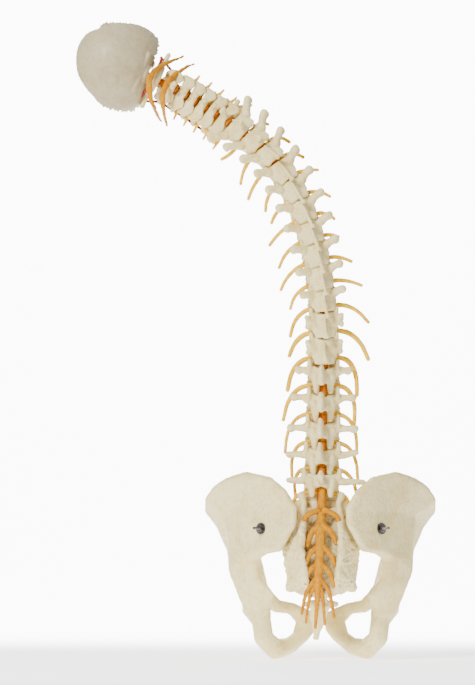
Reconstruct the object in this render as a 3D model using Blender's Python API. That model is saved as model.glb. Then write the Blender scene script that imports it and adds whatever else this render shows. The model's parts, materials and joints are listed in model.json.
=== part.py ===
"""Flexible spine model with a pelvis and the back plate of the skull, for the classroom.

Frame: metres, +Z up, +Y towards the belly, +X towards the model's right side. The origin is the
centre of the flat lower end of the core nut, where a stand holds the model. The spine is bent
sideways to the model's left, as it is stored.

A bone is a union of hulls. Each hull is the convex skin of a few balls (x, y, z, radius), in
millimetres, in that bone's own frame. A vertebra's own frame has its origin in the middle of its
body and +Z up the spine.
"""

import math

import bmesh
import bpy
from mathutils import Matrix, Vector

MM = 0.001

# --- driving dimensions, in millimetres and degrees --------------------------------------------
SACRAL_TOP = (0.0, 0.0, 29.5)  # centre of the sacrum's upper end plate
SACRAL_PITCH = 30.0  # how far that plate leans towards the belly
SACRAL_WIDTH, SACRAL_DEPTH = 48.0, 31.0
PLATE_GAP = 0.5  # between a disc and the bone on each side of it
ROD_RADIUS = 3.0  # the flexible core, which runs through every vertebral body
ROD_BORE = 3.6
ROD_SIDES = 8
CANAL_DEPTH = 15.0
DISC_SIDES = 12
DISC_HOLE = 4.2
NUT_RADIUS = 9.0
NUT_HEIGHT = 9.0
ATLAS_RISE = 16.5  # from the middle of the axis to the middle of the atlas
HEAD_RISE = 11.5  # from the middle of the atlas to the joint that the head nods on
HEAD_ROLL, HEAD_PITCH = 5.0, 4.0
SKULL_RADIUS = (68.0, 72.0, 64.0)
SKULL_CENTRE = (0.0, 34.0, 40.0)
SKULL_WALL = 5.5
# How far the plate reaches from its middle, at even steps round it from the model's right.
SKULL_REACH = (52, 48, 47, 49, 48, 48, 47, 47, 51, 59, 59, 45, 38, 41, 57.5, 55.5)
ACETABULUM = (100.0, 55.0, -69.0)
ACETABULUM_RADIUS = 24.0
BOLT_SEAT = (70.0, -18.0, 2.0)  # where the washer meets the hip bone
BOLT_AXIS = (-0.57, 0.82, -0.06)
BOLT_RADIUS, BOLT_BORE = 1.7, 2.2
BOLT_OUT, BOLT_IN = 16.0, 39.0  # how far the bolt reaches to each side of the washer's seat
NUT_SIZE = 4.2
WASHER_RADIUS = 6.8
SYMPHYSIS_HALF = 2.6
JOINT_POINT = (51.0, 5.0, 0.0)  # on the joint between sacrum and hip bone
JOINT_NORMAL = (0.96, -0.275, 0.0)
KERF = 0.5  # half the gap at that joint
CORD_RADIUS = 5.0
NERVE_RADIUS = 1.7
NERVE_VOXEL = 0.9
CORD_FACES = 3400
CAUDA_FACES = 900
ARTERY_RADIUS = 1.8

BONE_VOXEL = 1.2
PELVIS_VOXEL = 1.7
VERTEBRA_FACES = 260
SACRUM_FACES = 1100
HIP_FACES = 1300
OCCIPUT_FACES = 900

LOOKS = {
    "bone": {"color": (0.80, 0.76, 0.66), "roughness": 0.5, "metallic": 0.0},
    "cartilage": {"color": (0.83, 0.82, 0.74), "roughness": 0.45, "metallic": 0.0},
    "nerve": {"color": (0.86, 0.50, 0.05), "roughness": 0.4, "metallic": 0.0},
    "artery": {"color": (0.35, 0.04, 0.03), "roughness": 0.4, "metallic": 0.0},
    "steel": {"color": (0.60, 0.60, 0.62), "roughness": 0.3, "metallic": 1.0},
}


TWISTS = {  # how far each bone is turned about the spine's own axis, in degrees
    "t12": 2, "t11": 5, "t10": 8, "t9": 10, "t8": 12, "t7": 13, "t6": 13, "t5": 13, "t4": 13,
    "t3": 13, "t2": 12, "t1": 10, "c7": 8, "c6": 6, "c5": 4, "c4": 3, "c3": 2, "c2": 1,
}


class Level:
    """One vertebra: its size, and how it sits on the level below.

    size is the body's width, depth and height. disc is the height of the disc under it. roll and
    pitch are the bend at that disc, to the model's left and towards the belly. half_span is half
    the width over the transverse processes, and pillar the distance of the joint pillars from
    the middle. spine_back and spine_drop are the reach of the spinous process behind the lamina
    and below the body's middle, and spine_tall is the height of its tip. Where the spine bends
    it also twists, by TWISTS, so that the spinous processes lean to the model's right.
    """

    def __init__(self, name, kind, size, disc, bend, half_span, pillar, spine):
        self.name = name
        self.kind = kind
        self.width, self.depth, self.height = size
        self.disc = disc
        self.roll, self.pitch = bend
        self.twist = TWISTS.get(name, 0.0)
        self.half_span = half_span
        self.pillar = pillar
        self.spine_back, self.spine_drop, self.spine_tall = spine
        self.top = self.height / 2
        self.back = -self.depth / 2
        self.joint_y = self.back - 0.75 * CANAL_DEPTH
        self.lamina_y = self.back - CANAL_DEPTH - 2.5


LEVELS = [
    Level("l5", "lumbar", (47, 33, 25.0), 8.7, (-1.7, -11), 47.0, 17.5, (17, 5, 8)),
    Level("l4", "lumbar", (45, 33, 26.3), 8.9, (0.1, -10), 43.0, 15.5, (21, 4, 12)),
    Level("l3", "lumbar", (43, 32, 27.7), 8.9, (0.3, -9), 42.5, 14.5, (22, 4, 16)),
    Level("l2", "lumbar", (41, 31, 27.8), 8.5, (0.2, -7), 39.5, 13.5, (22, 4, 17)),
    Level("l1", "lumbar", (39, 30, 27.1), 7.9, (0.4, -5), 34.5, 13.0, (20, 5, 16)),
    Level("t12", "lower", (37, 28, 24.8), 7.2, (1.6, -2), 23.0, 12.5, (18, 7, 12)),
    Level("t11", "lower", (35, 27, 22.9), 6.4, (2.4, 1), 24.0, 12.5, (18, 11, 8)),
    Level("t10", "thoracic", (32, 26, 21.2), 5.7, (4.0, 3), 28.0, 12.5, (17, 19, 4)),
    Level("t9", "thoracic", (30, 26, 20.2), 5.6, (3.5, 4), 29.0, 12.5, (16, 23, 3)),
    Level("t8", "thoracic", (29, 25, 19.6), 5.0, (3.7, 4), 30.0, 12.5, (15, 26, 3)),
    Level("t7", "thoracic", (28, 25, 19.3), 5.0, (3.5, 4), 30.5, 12.5, (14, 27, 3)),
    Level("t6", "thoracic", (27, 24, 19.4), 4.7, (4.8, 4), 31.0, 12.5, (14, 27, 3)),
    Level("t5", "thoracic", (26, 23, 19.0), 4.7, (6.0, 4), 31.5, 12.5, (15, 25, 3)),
    Level("t4", "thoracic", (26, 22, 18.7), 4.7, (6.9, 4), 32.0, 13.0, (17, 22, 3)),
    Level("t3", "thoracic", (26, 21, 18.8), 4.8, (6.4, 3), 33.0, 13.5, (19, 18, 3)),
    Level("t2", "thoracic", (27, 20, 18.9), 5.0, (5.2, 3), 35.5, 14.5, (21, 14, 3)),
    Level("t1", "thoracic", (28, 19, 18.6), 5.1, (3.8, 2), 37.0, 16.0, (23, 10, 3)),
    Level("c7", "cervical", (25, 17, 14.8), 4.9, (2.3, 0), 30.0, 18.0, (23, 5, 2)),
    Level("c6", "cervical", (24, 16, 13.0), 4.7, (1.9, -5), 26.5, 18.5, (15, 4, 2)),
    Level("c5", "cervical", (22, 15, 12.0), 4.5, (1.9, -6), 25.5, 18.5, (11, 3, 2)),
    Level("c4", "cervical", (21, 15, 11.7), 4.4, (1.9, -6), 25.0, 18.5, (10, 3, 2)),
    Level("c3", "cervical", (20, 15, 11.4), 4.3, (1.9, -5), 24.5, 18.5, (10, 3, 2)),
    Level("c2", "axis", (20, 15, 17.7), 4.3, (2.0, -4), 24.0, 17.5, (14, 4, 4)),
]

# The hip bone of the model's right side, in the model's frame. The left one is its mirror image.
HIP_BALLS = {
    "psis": (33, -46, 25, 5), "psis_low": (34, -46, 8, 5), "crest_back": (44, -40, 44, 5),
    "crest_a": (61, -26, 58, 5), "crest_top": (87, 0, 64, 5), "crest_b": (111, 30, 55, 5),
    "crest_c": (124, 50, 46, 5), "crest_d": (131.5, 68, 34, 5), "asis": (130, 88, 21, 6),
    "wing_back": (61, -22, 20, 5), "wing_mid": (85, 6, 22, 2.6), "wing_front": (108, 44, 16, 2.6),
    "under_asis": (118, 84, 2, 4.5), "aiis": (105, 76, -24, 6), "notch_top": (66, -18, -22, 6),
    "notch_back": (50, -40, -20, 5), "roof_back": (80, 12, -30, 9), "roof_front": (97, 58, -34, 9),
    "seat_front": (60, 6, 0, 7), "seat_low": (57, -12, -14, 6),
    "socket_back": (80, 18, -60, 10), "socket_front": (86, 72, -64, 7),
    "rim_top": (100, 30, -47, 8), "rim_mid": (93, 23, -66, 8.5), "rim_low": (83, 23, -88, 10),
    "rim_under": (86, 46, -96, 6), "ischial_spine": (58, 2, -76, 3.5),
    "column": (69, 20, -90, 10),
    "ischium": (70, 20, -106, 12), "tuber": (67, 10, -127, 11.5),
    "tuber_low": (54, 14, -140, 12), "ramus": (37, 38, -137, 10), "ramus_up": (24, 54, -127, 9.5),
    "pubis_low": (12, 66, -117, 7), "pubis": (10.5, 74, -104, 7), "pubis_mid": (21, 70, -108, 8),
    "pubis_top": (17, 80, -101, 6.5), "superior": (34, 77, -94, 7),
    "superior_out": (52, 68, -91, 8), "socket_in": (70, 50, -70, 9),
}
HIP_HULLS = [
    ("psis", "psis_low", "wing_back"), ("psis", "crest_back", "wing_back"),
    ("crest_back", "crest_a", "wing_back"), ("crest_a", "wing_mid", "wing_back"),
    ("crest_a", "crest_top", "wing_mid"), ("crest_top", "crest_b", "wing_mid"),
    ("crest_b", "wing_front", "wing_mid"), ("crest_b", "crest_c", "wing_front"),
    ("crest_c", "crest_d", "wing_front"), ("crest_d", "asis", "wing_front"),
    ("asis", "under_asis", "wing_front"), ("under_asis", "aiis", "wing_front"),
    ("aiis", "roof_front", "wing_front"), ("wing_front", "roof_front", "roof_back"),
    ("wing_front", "wing_mid", "roof_back"), ("wing_mid", "wing_back", "roof_back"),
    ("wing_back", "notch_top", "roof_back"), ("wing_back", "notch_top", "notch_back"),
    ("wing_back", "psis_low", "notch_back"), ("roof_back", "roof_front", "rim_top"),
    ("roof_back", "socket_back", "rim_top"), ("rim_top", "rim_mid", "socket_back"),
    ("roof_back", "socket_back", "socket_in"), ("roof_back", "roof_front", "socket_in"),
    ("roof_front", "socket_front", "socket_in"), ("socket_front", "rim_under", "socket_in"),
    ("socket_back", "rim_low", "socket_in"), ("rim_low", "rim_under", "socket_in"),
    ("rim_mid", "rim_low", "socket_back"), ("socket_back", "ischial_spine", "rim_low"),
    ("aiis", "roof_front", "rim_top"), ("wing_front", "roof_back", "rim_top", "aiis"),
    ("socket_back", "rim_low", "ischium", "column"), ("ischium", "tuber"),
    ("ischial_spine", "column", "socket_back"),
    ("ischium", "rim_under"), ("tuber", "tuber_low"), ("tuber_low", "ramus"),
    ("ramus", "ramus_up"), ("ramus_up", "pubis_low", "pubis_mid"),
    ("pubis_low", "pubis", "pubis_top", "pubis_mid"), ("pubis_top", "pubis_mid", "superior"),
    ("superior", "superior_out"), ("superior_out", "socket_in"),
    ("superior_out", "socket_front"), ("seat_front", "seat_low", "wing_back"),
    ("seat_front", "roof_back", "wing_mid"), ("seat_front", "wing_back", "wing_mid"),
    ("seat_front", "seat_low", "roof_back", "notch_top"), ("seat_low", "notch_back", "wing_back"),
]

# The sacrum and coccyx, in the model's frame. Names that end in _side come in mirrored pairs.
SACRUM_BALLS = {
    "s1": (0, -8, 12, 11), "s1_front": (0, 4, 14, 7), "s2": (0, -24, -8, 9),
    "s3": (0, -34, -31, 8), "s4": (0, -35, -53, 7.5), "s5": (0, -29, -73, 6.5),
    "coccyx_1": (-1, -21, -87, 7.5), "coccyx_2": (-3, -13, -100, 6.5),
    "coccyx_3": (-4, -6, -112, 5), "coccyx_4": (-5, -2, -124, 3.5),
    "ala_side": (43, 8, 18, 8), "ala_low_side": (45, 6, 2, 8), "flank_side": (42, -22, -24, 6),
    "angle_side": (35, -28, -63, 7.5), "foot_side": (22, -27, -70, 5),
    "body_side": (20, -14, 4, 9), "wall_1_side": (21, -27, 20, 4),
    "wall_2_side": (23, -44, -2, 4), "wall_3_side": (23, -53, -27, 4),
    "wall_4_side": (20, -53, -50, 4), "wall_5_side": (17, -44, -68, 3.5),
    "horn_side": (20, -22, 33, 3.5), "neck_side": (15, -20, 22, 5),
    "cornu_side": (17, -20, -86, 3.5),
}
SACRUM_HULLS = [
    ("s1", "s1_front", "s2"), ("s2", "s3"), ("s3", "s4"), ("s4", "s5"), ("s5", "coccyx_1"),
    ("coccyx_1", "coccyx_2"), ("coccyx_2", "coccyx_3"), ("coccyx_3", "coccyx_4"),
    ("s1", "s1_front", "ala_side", "body_side"), ("ala_side", "ala_low_side", "body_side"),
    ("body_side", "s2", "flank_side", "ala_low_side"), ("s2", "s3", "flank_side"),
    ("s3", "s4", "flank_side"), ("flank_side", "angle_side", "s4"), ("angle_side", "s4", "s5"),
    ("foot_side", "angle_side", "s5"), ("wall_1_side", "wall_2_side", "body_side"),
    ("wall_2_side", "wall_3_side", "flank_side"), ("wall_3_side", "wall_4_side", "angle_side"),
    ("wall_4_side", "wall_5_side", "angle_side"), ("wall_2_side", "body_side", "flank_side"),
    ("wall_1_side", "body_side", "neck_side"), ("horn_side", "wall_1_side"),
    ("wall_5_side", "foot_side"), ("neck_side", "s1", "body_side"),
    ("coccyx_1", "cornu_side"), ("foot_side", "s5", "wall_5_side"),
    ("wall_3_side", "flank_side", "angle_side"),
]


# --- frames ------------------------------------------------------------------------------------
def turn(roll, pitch):
    """A lean to the model's left by roll, then towards the belly by pitch."""
    sideways = Matrix.Rotation(math.radians(-roll), 4, "Y")
    return sideways @ Matrix.Rotation(math.radians(-pitch), 4, "X")


def slide_up(distance):
    return Matrix.Translation((0, 0, distance))


def stack_levels():
    """Gives each level its frames: the plate below it, its pivot bent sideways and then also
    forwards, its body untwisted, the bone's own, and the gap at its lower disc, twisted too."""
    plate = Matrix.Translation(SACRAL_TOP) @ turn(0, SACRAL_PITCH)
    for level in LEVELS:
        level.plate_below = plate
        level.side_frame = plate @ slide_up(level.disc / 2) @ turn(level.roll, 0)
        level.bend_frame = plate @ slide_up(level.disc / 2) @ turn(level.roll, level.pitch)
        twist = Matrix.Rotation(math.radians(level.twist), 4, "Z")
        level.straight = level.bend_frame @ slide_up(level.disc / 2 + level.top)
        level.frame = level.straight @ twist
        level.gap_frame = level.side_frame @ twist
        plate = level.straight @ slide_up(level.top)


# --- modelling tools ---------------------------------------------------------------------------
def material(look):
    found = bpy.data.materials.get(look)
    if found:
        return found
    made = bpy.data.materials.new(look)
    made.use_nodes = True
    shader = made.node_tree.nodes["Principled BSDF"]
    shader.inputs["Base Color"].default_value = (*LOOKS[look]["color"], 1.0)
    shader.inputs["Roughness"].default_value = LOOKS[look]["roughness"]
    shader.inputs["Metallic"].default_value = LOOKS[look]["metallic"]
    return made


def metres(frame):
    made = frame.copy()
    made.translation *= MM
    return made


def ball_points(x, y, z, radius):
    """Points spread evenly over a ball."""
    count = 14
    points = []
    for i in range(count):
        height = 1 - 2 * (i + 0.5) / count
        ring = math.sqrt(1 - height * height)
        angle = i * math.pi * (3 - math.sqrt(5))
        points.append(Vector((x + radius * ring * math.cos(angle),
                              y + radius * ring * math.sin(angle), z + radius * height)))
    return points


def add_hull(bm, balls):
    """The convex skin of some balls, as a closed shell of its own."""
    skin = bmesh.new()
    for ball in balls:
        for point in ball_points(*ball):
            skin.verts.new(point)
    made = bmesh.ops.convex_hull(skin, input=skin.verts)
    inside = [v for v in made["geom_interior"] if isinstance(v, bmesh.types.BMVert)]
    bmesh.ops.delete(skin, geom=inside, context="VERTS")
    append(bm, skin)


def append(bm, other):
    """Adds another mesh's shells to this one."""
    bmesh.ops.recalc_face_normals(other, faces=other.faces)
    carrier = bpy.data.meshes.new("carrier")
    other.to_mesh(carrier)
    other.free()
    bm.from_mesh(carrier)
    bpy.data.meshes.remove(carrier)


def add_pair(bm, balls):
    """A hull on the right and its mirror image on the left."""
    add_hull(bm, balls)
    add_hull(bm, [(-x, y, z, r) for x, y, z, r in balls])


def add_tube(bm, balls):
    """A chain of hulls, each between two neighbouring balls."""
    for a, b in zip(balls, balls[1:]):
        add_hull(bm, [a, b])


def oval(half_width, half_depth, z, sides, flat_back=0.0):
    """A ring of points round an oval. flat_back pulls the rear half in."""
    points = []
    for i in range(sides):
        angle = 2 * math.pi * (i + 0.5) / sides
        y = half_depth * math.sin(angle)
        if y < 0:
            y *= 1 - flat_back
        points.append(Vector((half_width * math.cos(angle), y, z)))
    return points


def loft(rings, closed=False):
    """A mesh skinned over rings of equal count. closed joins the last ring to the first."""
    bm = bmesh.new()
    made = [[bm.verts.new(point) for point in ring] for ring in rings]
    count = len(made[0])
    pairs = list(zip(made, made[1:])) + ([(made[-1], made[0])] if closed else [])
    for low, high in pairs:
        for i in range(count):
            j = (i + 1) % count
            bm.faces.new((low[i], low[j], high[j], high[i]))
    if not closed:
        bm.faces.new(reversed(made[0]))
        bm.faces.new(made[-1])
    bmesh.ops.recalc_face_normals(bm, faces=bm.faces)
    return bm


def add_object(name, bm, look, frame, parent=None):
    """Links a mesh, given in millimetres in the frame's own axes, at that frame."""
    bmesh.ops.scale(bm, vec=(MM, MM, MM), verts=bm.verts)
    mesh = bpy.data.meshes.new(name)
    bm.to_mesh(mesh)
    bm.free()
    mesh.materials.append(material(look))
    obj = bpy.data.objects.new(name, mesh)
    bpy.context.scene.collection.objects.link(obj)
    if parent:
        obj.parent = parent
        bpy.context.view_layer.update()
        obj.matrix_parent_inverse = parent.matrix_world.inverted()
    obj.matrix_world = metres(frame)
    bpy.context.view_layer.update()
    return obj


def moved(bm, frame):
    """The same mesh, read in another frame."""
    bmesh.ops.transform(bm, matrix=frame, verts=bm.verts)
    return bm


def fuse(obj, voxel, faces):
    """Makes overlapping shells one skin, then thins it to about this many triangles."""
    remesh = obj.modifiers.new("fuse", "REMESH")
    remesh.mode = "VOXEL"
    remesh.voxel_size = voxel * MM
    bake(obj)
    decimate = obj.modifiers.new("thin", "DECIMATE")
    decimate.ratio = min(1.0, faces / sum(len(p.vertices) - 2 for p in obj.data.polygons))
    decimate.use_collapse_triangulate = True
    bake(obj)


def bake(obj):
    """Replaces the mesh with what its modifiers make of it."""
    graph = bpy.context.evaluated_depsgraph_get()
    mesh = bpy.data.meshes.new_from_object(obj.evaluated_get(graph))
    obj.modifiers.clear()
    obj.data = mesh
    for polygon in mesh.polygons:
        polygon.use_smooth = True


def cut(obj, cutters):
    """Takes each cutter, given in the model's frame, out of the object."""
    for bm in cutters:
        cutter = add_object("cutter", bm, "steel", Matrix.Identity(4))
        cutter.hide_render = True
        cutter.display_type = "WIRE"
        boolean = obj.modifiers.new("cut", "BOOLEAN")
        boolean.operation = "DIFFERENCE"
        boolean.solver = "EXACT"
        boolean.object = cutter
        bake(obj)
        bpy.data.objects.remove(cutter)


def box_mesh(low, high):
    bm = bmesh.new()
    size = Vector(high) - Vector(low)
    middle = (Vector(high) + Vector(low)) / 2
    bmesh.ops.create_cube(bm, size=1.0, matrix=Matrix.LocRotScale(middle, None, size))
    return bm


def facing(origin, direction, side):
    """A frame at origin whose Z points along direction, with X as near side as can be."""
    z = Vector(direction).normalized()
    y = z.cross(Vector(side)).normalized()
    x = y.cross(z)
    frame = Matrix((x, y, z)).transposed().to_4x4()
    frame.translation = Vector(origin)
    return frame


def cylinder(radius, low, high, sides):
    return loft([oval(radius, radius, low, sides), oval(radius, radius, high, sides)])


# --- vertebrae ---------------------------------------------------------------------------------
def add_body(bm, level):
    """The drum that carries the load, a little too tall: spool() trims it."""
    half_width, half_depth, top = level.width / 2, level.depth / 2, level.top
    shape = [(-top - 1.5, 1.0), (-top + 2, 0.99), (0, 0.88), (top - 2, 0.97), (top + 1.5, 0.98)]
    rings = [oval(half_width * k, half_depth * k, z, 18, 0.12) for z, k in shape]
    append(bm, loft(rings))


def spool(width, depth, half_height):
    """Cuts a body's two flat ends and the bore between them."""
    reach = half_height + 4
    low, high = -half_height, half_height
    wide = (width * 0.62, depth * 0.62)
    bore = (ROD_BORE, ROD_BORE)
    rings = [(wide, -reach), (wide, low), (bore, low), (bore, high), (wide, high), (wide, reach)]
    return loft([oval(*size, z, ROD_SIDES) for size, z in rings])


def add_arch(bm, level, pedicle, thickness, reach):
    """Pedicles and laminae, which close the canal behind the body. reach is how far down the
    laminae go, in half body heights: their lower edges lean back over the next level."""
    side, joint, behind, top = level.pillar, level.joint_y, level.lamina_y, level.top
    add_pair(bm, [(level.width * 0.34, level.back + 3, top * 0.35, pedicle),
                  (side, joint + 2, top * 0.3, pedicle)])
    low = -reach * top
    add_pair(bm, [(side, joint, top * 0.5, thickness), (side * 0.8, joint - 4, low, thickness),
                  (0, behind + 1, top * 0.3, thickness), (0, behind - 2, low, thickness)])


def add_facets(bm, level, radius, rise, fall):
    """The joint processes: the upper pair stands in front of the next level's lower pair."""
    side, joint, top = level.pillar, level.joint_y, level.top
    add_pair(bm, [(side, joint + 1.5, top * 0.3, radius), (side, joint + 2.4, top + rise, radius)])
    add_pair(bm, [(side * 0.85, joint - 3, 0, radius),
                  (side * 0.85, joint - 4, -top - fall, radius)])


def lumbar(level):
    bm = bmesh.new()
    add_body(bm, level)
    add_arch(bm, level, 5.0, 2.8, 0.8)
    side, joint, top = level.pillar, level.joint_y, level.top
    add_pair(bm, [(side + 3, joint + 1, top * 0.2, 3.2), (side + 3.5, joint - 1, top + 1, 2.6)])
    add_pair(bm, [(side * 0.7, joint - 4, -4, 3.2), (side * 0.72, joint - 5, -top - 3, 2.6)])
    tip = level.lamina_y - level.spine_back
    tall = level.spine_tall / 2
    drop = -level.spine_drop
    add_hull(bm, [(0, level.lamina_y, 0, 2.8), (0, level.lamina_y, -0.6 * top, 2.8),
                  (0, tip, drop + tall, 3.2), (0, tip, drop - tall, 3.8)])
    add_pair(bm, [(side, joint + 3, top * 0.3, 4.5), (side + 2, joint + 1, top * 0.05, 4.0),
                  (level.half_span - 3, joint + 1, top * 0.35, 3.4)])
    return bm


def thoracic(level):
    bm = bmesh.new()
    add_body(bm, level)
    add_arch(bm, level, 3.6, 2.4, 1.15)
    add_facets(bm, level, 2.2, 0.5 if level.name == "t1" else 3.5, 4.0)
    side, joint, top = level.pillar, level.joint_y, level.top
    tip = level.lamina_y - level.spine_back
    tall = level.spine_tall / 2
    drop = -level.spine_drop
    add_hull(bm, [(0, level.lamina_y, 0, 2.6), (0, level.lamina_y, -0.6 * top, 2.4),
                  (0, tip, drop + tall, 2.6), (0, tip, drop - tall, 3.0)])
    lift = 3.0 if level.kind == "thoracic" else 0.0
    add_pair(bm, [(side, joint, top * 0.3, 4.0),
                  (level.half_span - 4.5, joint - 8, top * 0.3 + lift, 4.6)])
    return bm


def cervical(level):
    bm = bmesh.new()
    add_body(bm, level)
    side, joint, top = level.pillar, level.joint_y, level.top
    behind = level.lamina_y
    add_pair(bm, [(level.width * 0.34, level.back + 4, 0, 3.2), (side, joint + 6, 0, 3.4)])
    rise = 0 if level.kind == "axis" else top - 1.6
    add_pair(bm, [(side, joint + 3.5, rise, 3.7), (side, joint + 1.5, -top + 3, 3.7)])
    add_pair(bm, [(side, joint + 2, 1, 2.6), (side * 0.9, joint, -0.5 * top, 2.4),
                  (0, behind, 1, 2.4), (0, behind, -0.55 * top, 2.4)])
    tip = behind - level.spine_back
    drop = -level.spine_drop
    add_hull(bm, [(0, behind, 0.5, 2.4), (0, behind, -0.5 * top, 2.4), (0, tip, drop, 3.0)])
    if level.name != "c7":
        add_pair(bm, [(0, tip + 4, drop + 0.5, 2.4), (3.6, tip, drop - 0.5, 2.6)])
    add_pair(bm, [(level.width * 0.4, -2, 0, 2.8), (level.half_span - 3, -5, -1.5, 3.0)])
    add_pair(bm, [(side, joint + 6, 0, 2.8), (level.half_span - 3, -5, -1.5, 3.0)])
    return bm


def axis_bone(level):
    """C2, with the peg that the atlas turns on."""
    bm = cervical(level)
    top = level.top
    add_hull(bm, [(0, 1, top - 3, 5.0), (0, 1, top + 2, 4.6), (0, 1, ATLAS_RISE + 5, 4.2)])
    add_pair(bm, [(10, 0, top - 6, 4.5), (15, -2, top - 4.5, 4.5)])
    return bm


def atlas():
    """C1, a ring round the peg of C2. Its frame's Z runs up the peg."""
    bm = bmesh.new()
    add_pair(bm, [(16, 0, -1.8, 4.2), (16, 3, 0.5, 4.2), (17, -6, 0, 4.2)])
    add_tube(bm, [(-15, 4, 0, 3.4), (-8, 11, 0, 3.2), (8, 11, 0, 3.2), (15, 4, 0, 3.4)])
    rear = [(17, -7, 0, 3.2), (15, -17, 0, 2.8), (8, -24, 0, 2.8), (0, -26.5, 0, 3.2)]
    add_tube(bm, rear + [(-x, y, z, r) for x, y, z, r in reversed(rear[:3])])
    add_pair(bm, [(18, 0, 0, 3.4), (34, -3, -1, 3.4)])
    return bm


def disc_mesh(level, below_size):
    """A disc between two end plates, in its side frame: a wedge where the spine is bent."""
    inverse = level.side_frame.inverted()
    low = inverse @ level.plate_below @ slide_up(PLATE_GAP)
    high = inverse @ level.straight @ slide_up(-level.top - PLATE_GAP)
    below = (below_size[0] / 2 * 0.96, below_size[1] / 2 * 0.96)
    above = (level.width / 2 * 0.96, level.depth / 2 * 0.96)
    middle = ((below[0] + above[0]) / 2 * 1.05, (below[1] + above[1]) / 2 * 1.05)
    hole = (DISC_HOLE, DISC_HOLE)
    rings = [
        [low @ p for p in oval(*hole, 0, DISC_SIDES)],
        [low @ p for p in oval(*below, 0, DISC_SIDES, 0.12)],
        oval(*middle, 0, DISC_SIDES, 0.12),
        [high @ p for p in oval(*above, 0, DISC_SIDES, 0.12)],
        [high @ p for p in oval(*hole, 0, DISC_SIDES)],
    ]
    return loft(rings, closed=True)


# --- skull plate -------------------------------------------------------------------------------
def skull_shell():
    """The curved plate, seen from behind as an uneven disc, in the head's frame."""
    centre = Vector(SKULL_CENTRE)
    sides, steps = 32, 6

    def point(i, share, wall):
        angle = 2 * math.pi * i / sides
        near, far = SKULL_REACH[i // 2], SKULL_REACH[(i + 1) // 2 % len(SKULL_REACH)]
        reach = share * (near + far) / 2
        x, z = reach * math.cos(angle), reach * math.sin(angle)
        inside = 1 - (x / SKULL_RADIUS[0]) ** 2 - (z / SKULL_RADIUS[2]) ** 2
        bulge = Vector((x, -SKULL_RADIUS[1] * math.sqrt(max(inside, 0.01)), z))
        return centre + bulge * (1 - wall / bulge.length)

    rings = []
    for wall, order in ((0.0, range(1, steps + 1)), (SKULL_WALL, range(steps, 0, -1))):
        for step in order:
            rings.append([point(i, step / steps, wall) for i in range(sides)])
    return loft(rings)


def occiput_mesh():
    """The plate with the ring round the cord's opening, and the two rockers under it."""
    bm = skull_shell()
    ring = []
    for i in range(15):
        angle = 2 * math.pi * i / 14
        ring.append((17 * math.cos(angle), -3 + 20 * math.sin(angle), 4 + 2 * math.sin(angle),
                     3.8))
    add_tube(bm, ring)
    add_pair(bm, [(14, 6, -1, 4.0), (16, -3, -1, 4.0), (20, 0, 5, 4.5)])
    add_hull(bm, [(-9, 16, 6, 4), (9, 16, 6, 4), (-6, 27, 12, 4), (6, 27, 12, 4)])
    add_pair(bm, [(18, -2, 8, 4.0), (34, -2, 10, 3.5), (38, 14, 9, 3.5), (24, -20, 9, 3.5)])
    add_hull(bm, [(-14, -20, 3, 3.5), (14, -20, 3, 3.5), (-22, -24, 7, 3.5), (22, -24, 7, 3.5)])
    return bm


# --- pelvis ------------------------------------------------------------------------------------
def side_space(outwards):
    """A block on one side of the plane between the sacrum and the right hip bone. The inner
    block stops short of the crest's back end and of the pubis, which pass the plane."""
    frame = facing(JOINT_POINT, JOINT_NORMAL, (0, 0, 1))
    if outwards:
        return moved(box_mesh((-160, -160, KERF), (160, 160, 90)), frame)
    return moved(box_mesh((-60, -25, -40), (60, 38, -KERF)), frame)


def mirrored(bm):
    bmesh.ops.transform(bm, matrix=Matrix.Scale(-1, 4, (1, 0, 0)), verts=bm.verts)
    bmesh.ops.reverse_faces(bm, faces=bm.faces)
    return bm


def bolt_frame():
    return facing(BOLT_SEAT, BOLT_AXIS, (0, 0, 1))


def bolt_mesh():
    """Bolt, outer nut, washer and inner nut as one turned shape, along the bolt's Z."""
    shape = [(BOLT_RADIUS, -BOLT_OUT), (BOLT_RADIUS, -4.6), (NUT_SIZE, -4.6), (NUT_SIZE, -1.5),
             (WASHER_RADIUS, -1.5), (WASHER_RADIUS, -0.3), (BOLT_RADIUS, -0.3),
             (BOLT_RADIUS, BOLT_IN + 0.3), (NUT_SIZE, BOLT_IN + 0.3), (NUT_SIZE, BOLT_IN + 3.5),
             (BOLT_RADIUS, BOLT_IN + 3.5), (BOLT_RADIUS, BOLT_IN + 5)]
    return moved(loft([oval(r, r, z, 12) for r, z in shape]), bolt_frame())


def bolt_space():
    """The hole a bolt runs in, with a flat seat at each end for its washer and nut."""
    shape = [(WASHER_RADIUS + 1.5, -18), (WASHER_RADIUS + 1.5, 0), (BOLT_BORE, 0),
             (BOLT_BORE, BOLT_IN), (NUT_SIZE + 1, BOLT_IN), (NUT_SIZE + 1, BOLT_IN + 12)]
    return moved(loft([oval(r, r, z, 12) for r, z in shape]), bolt_frame())


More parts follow.
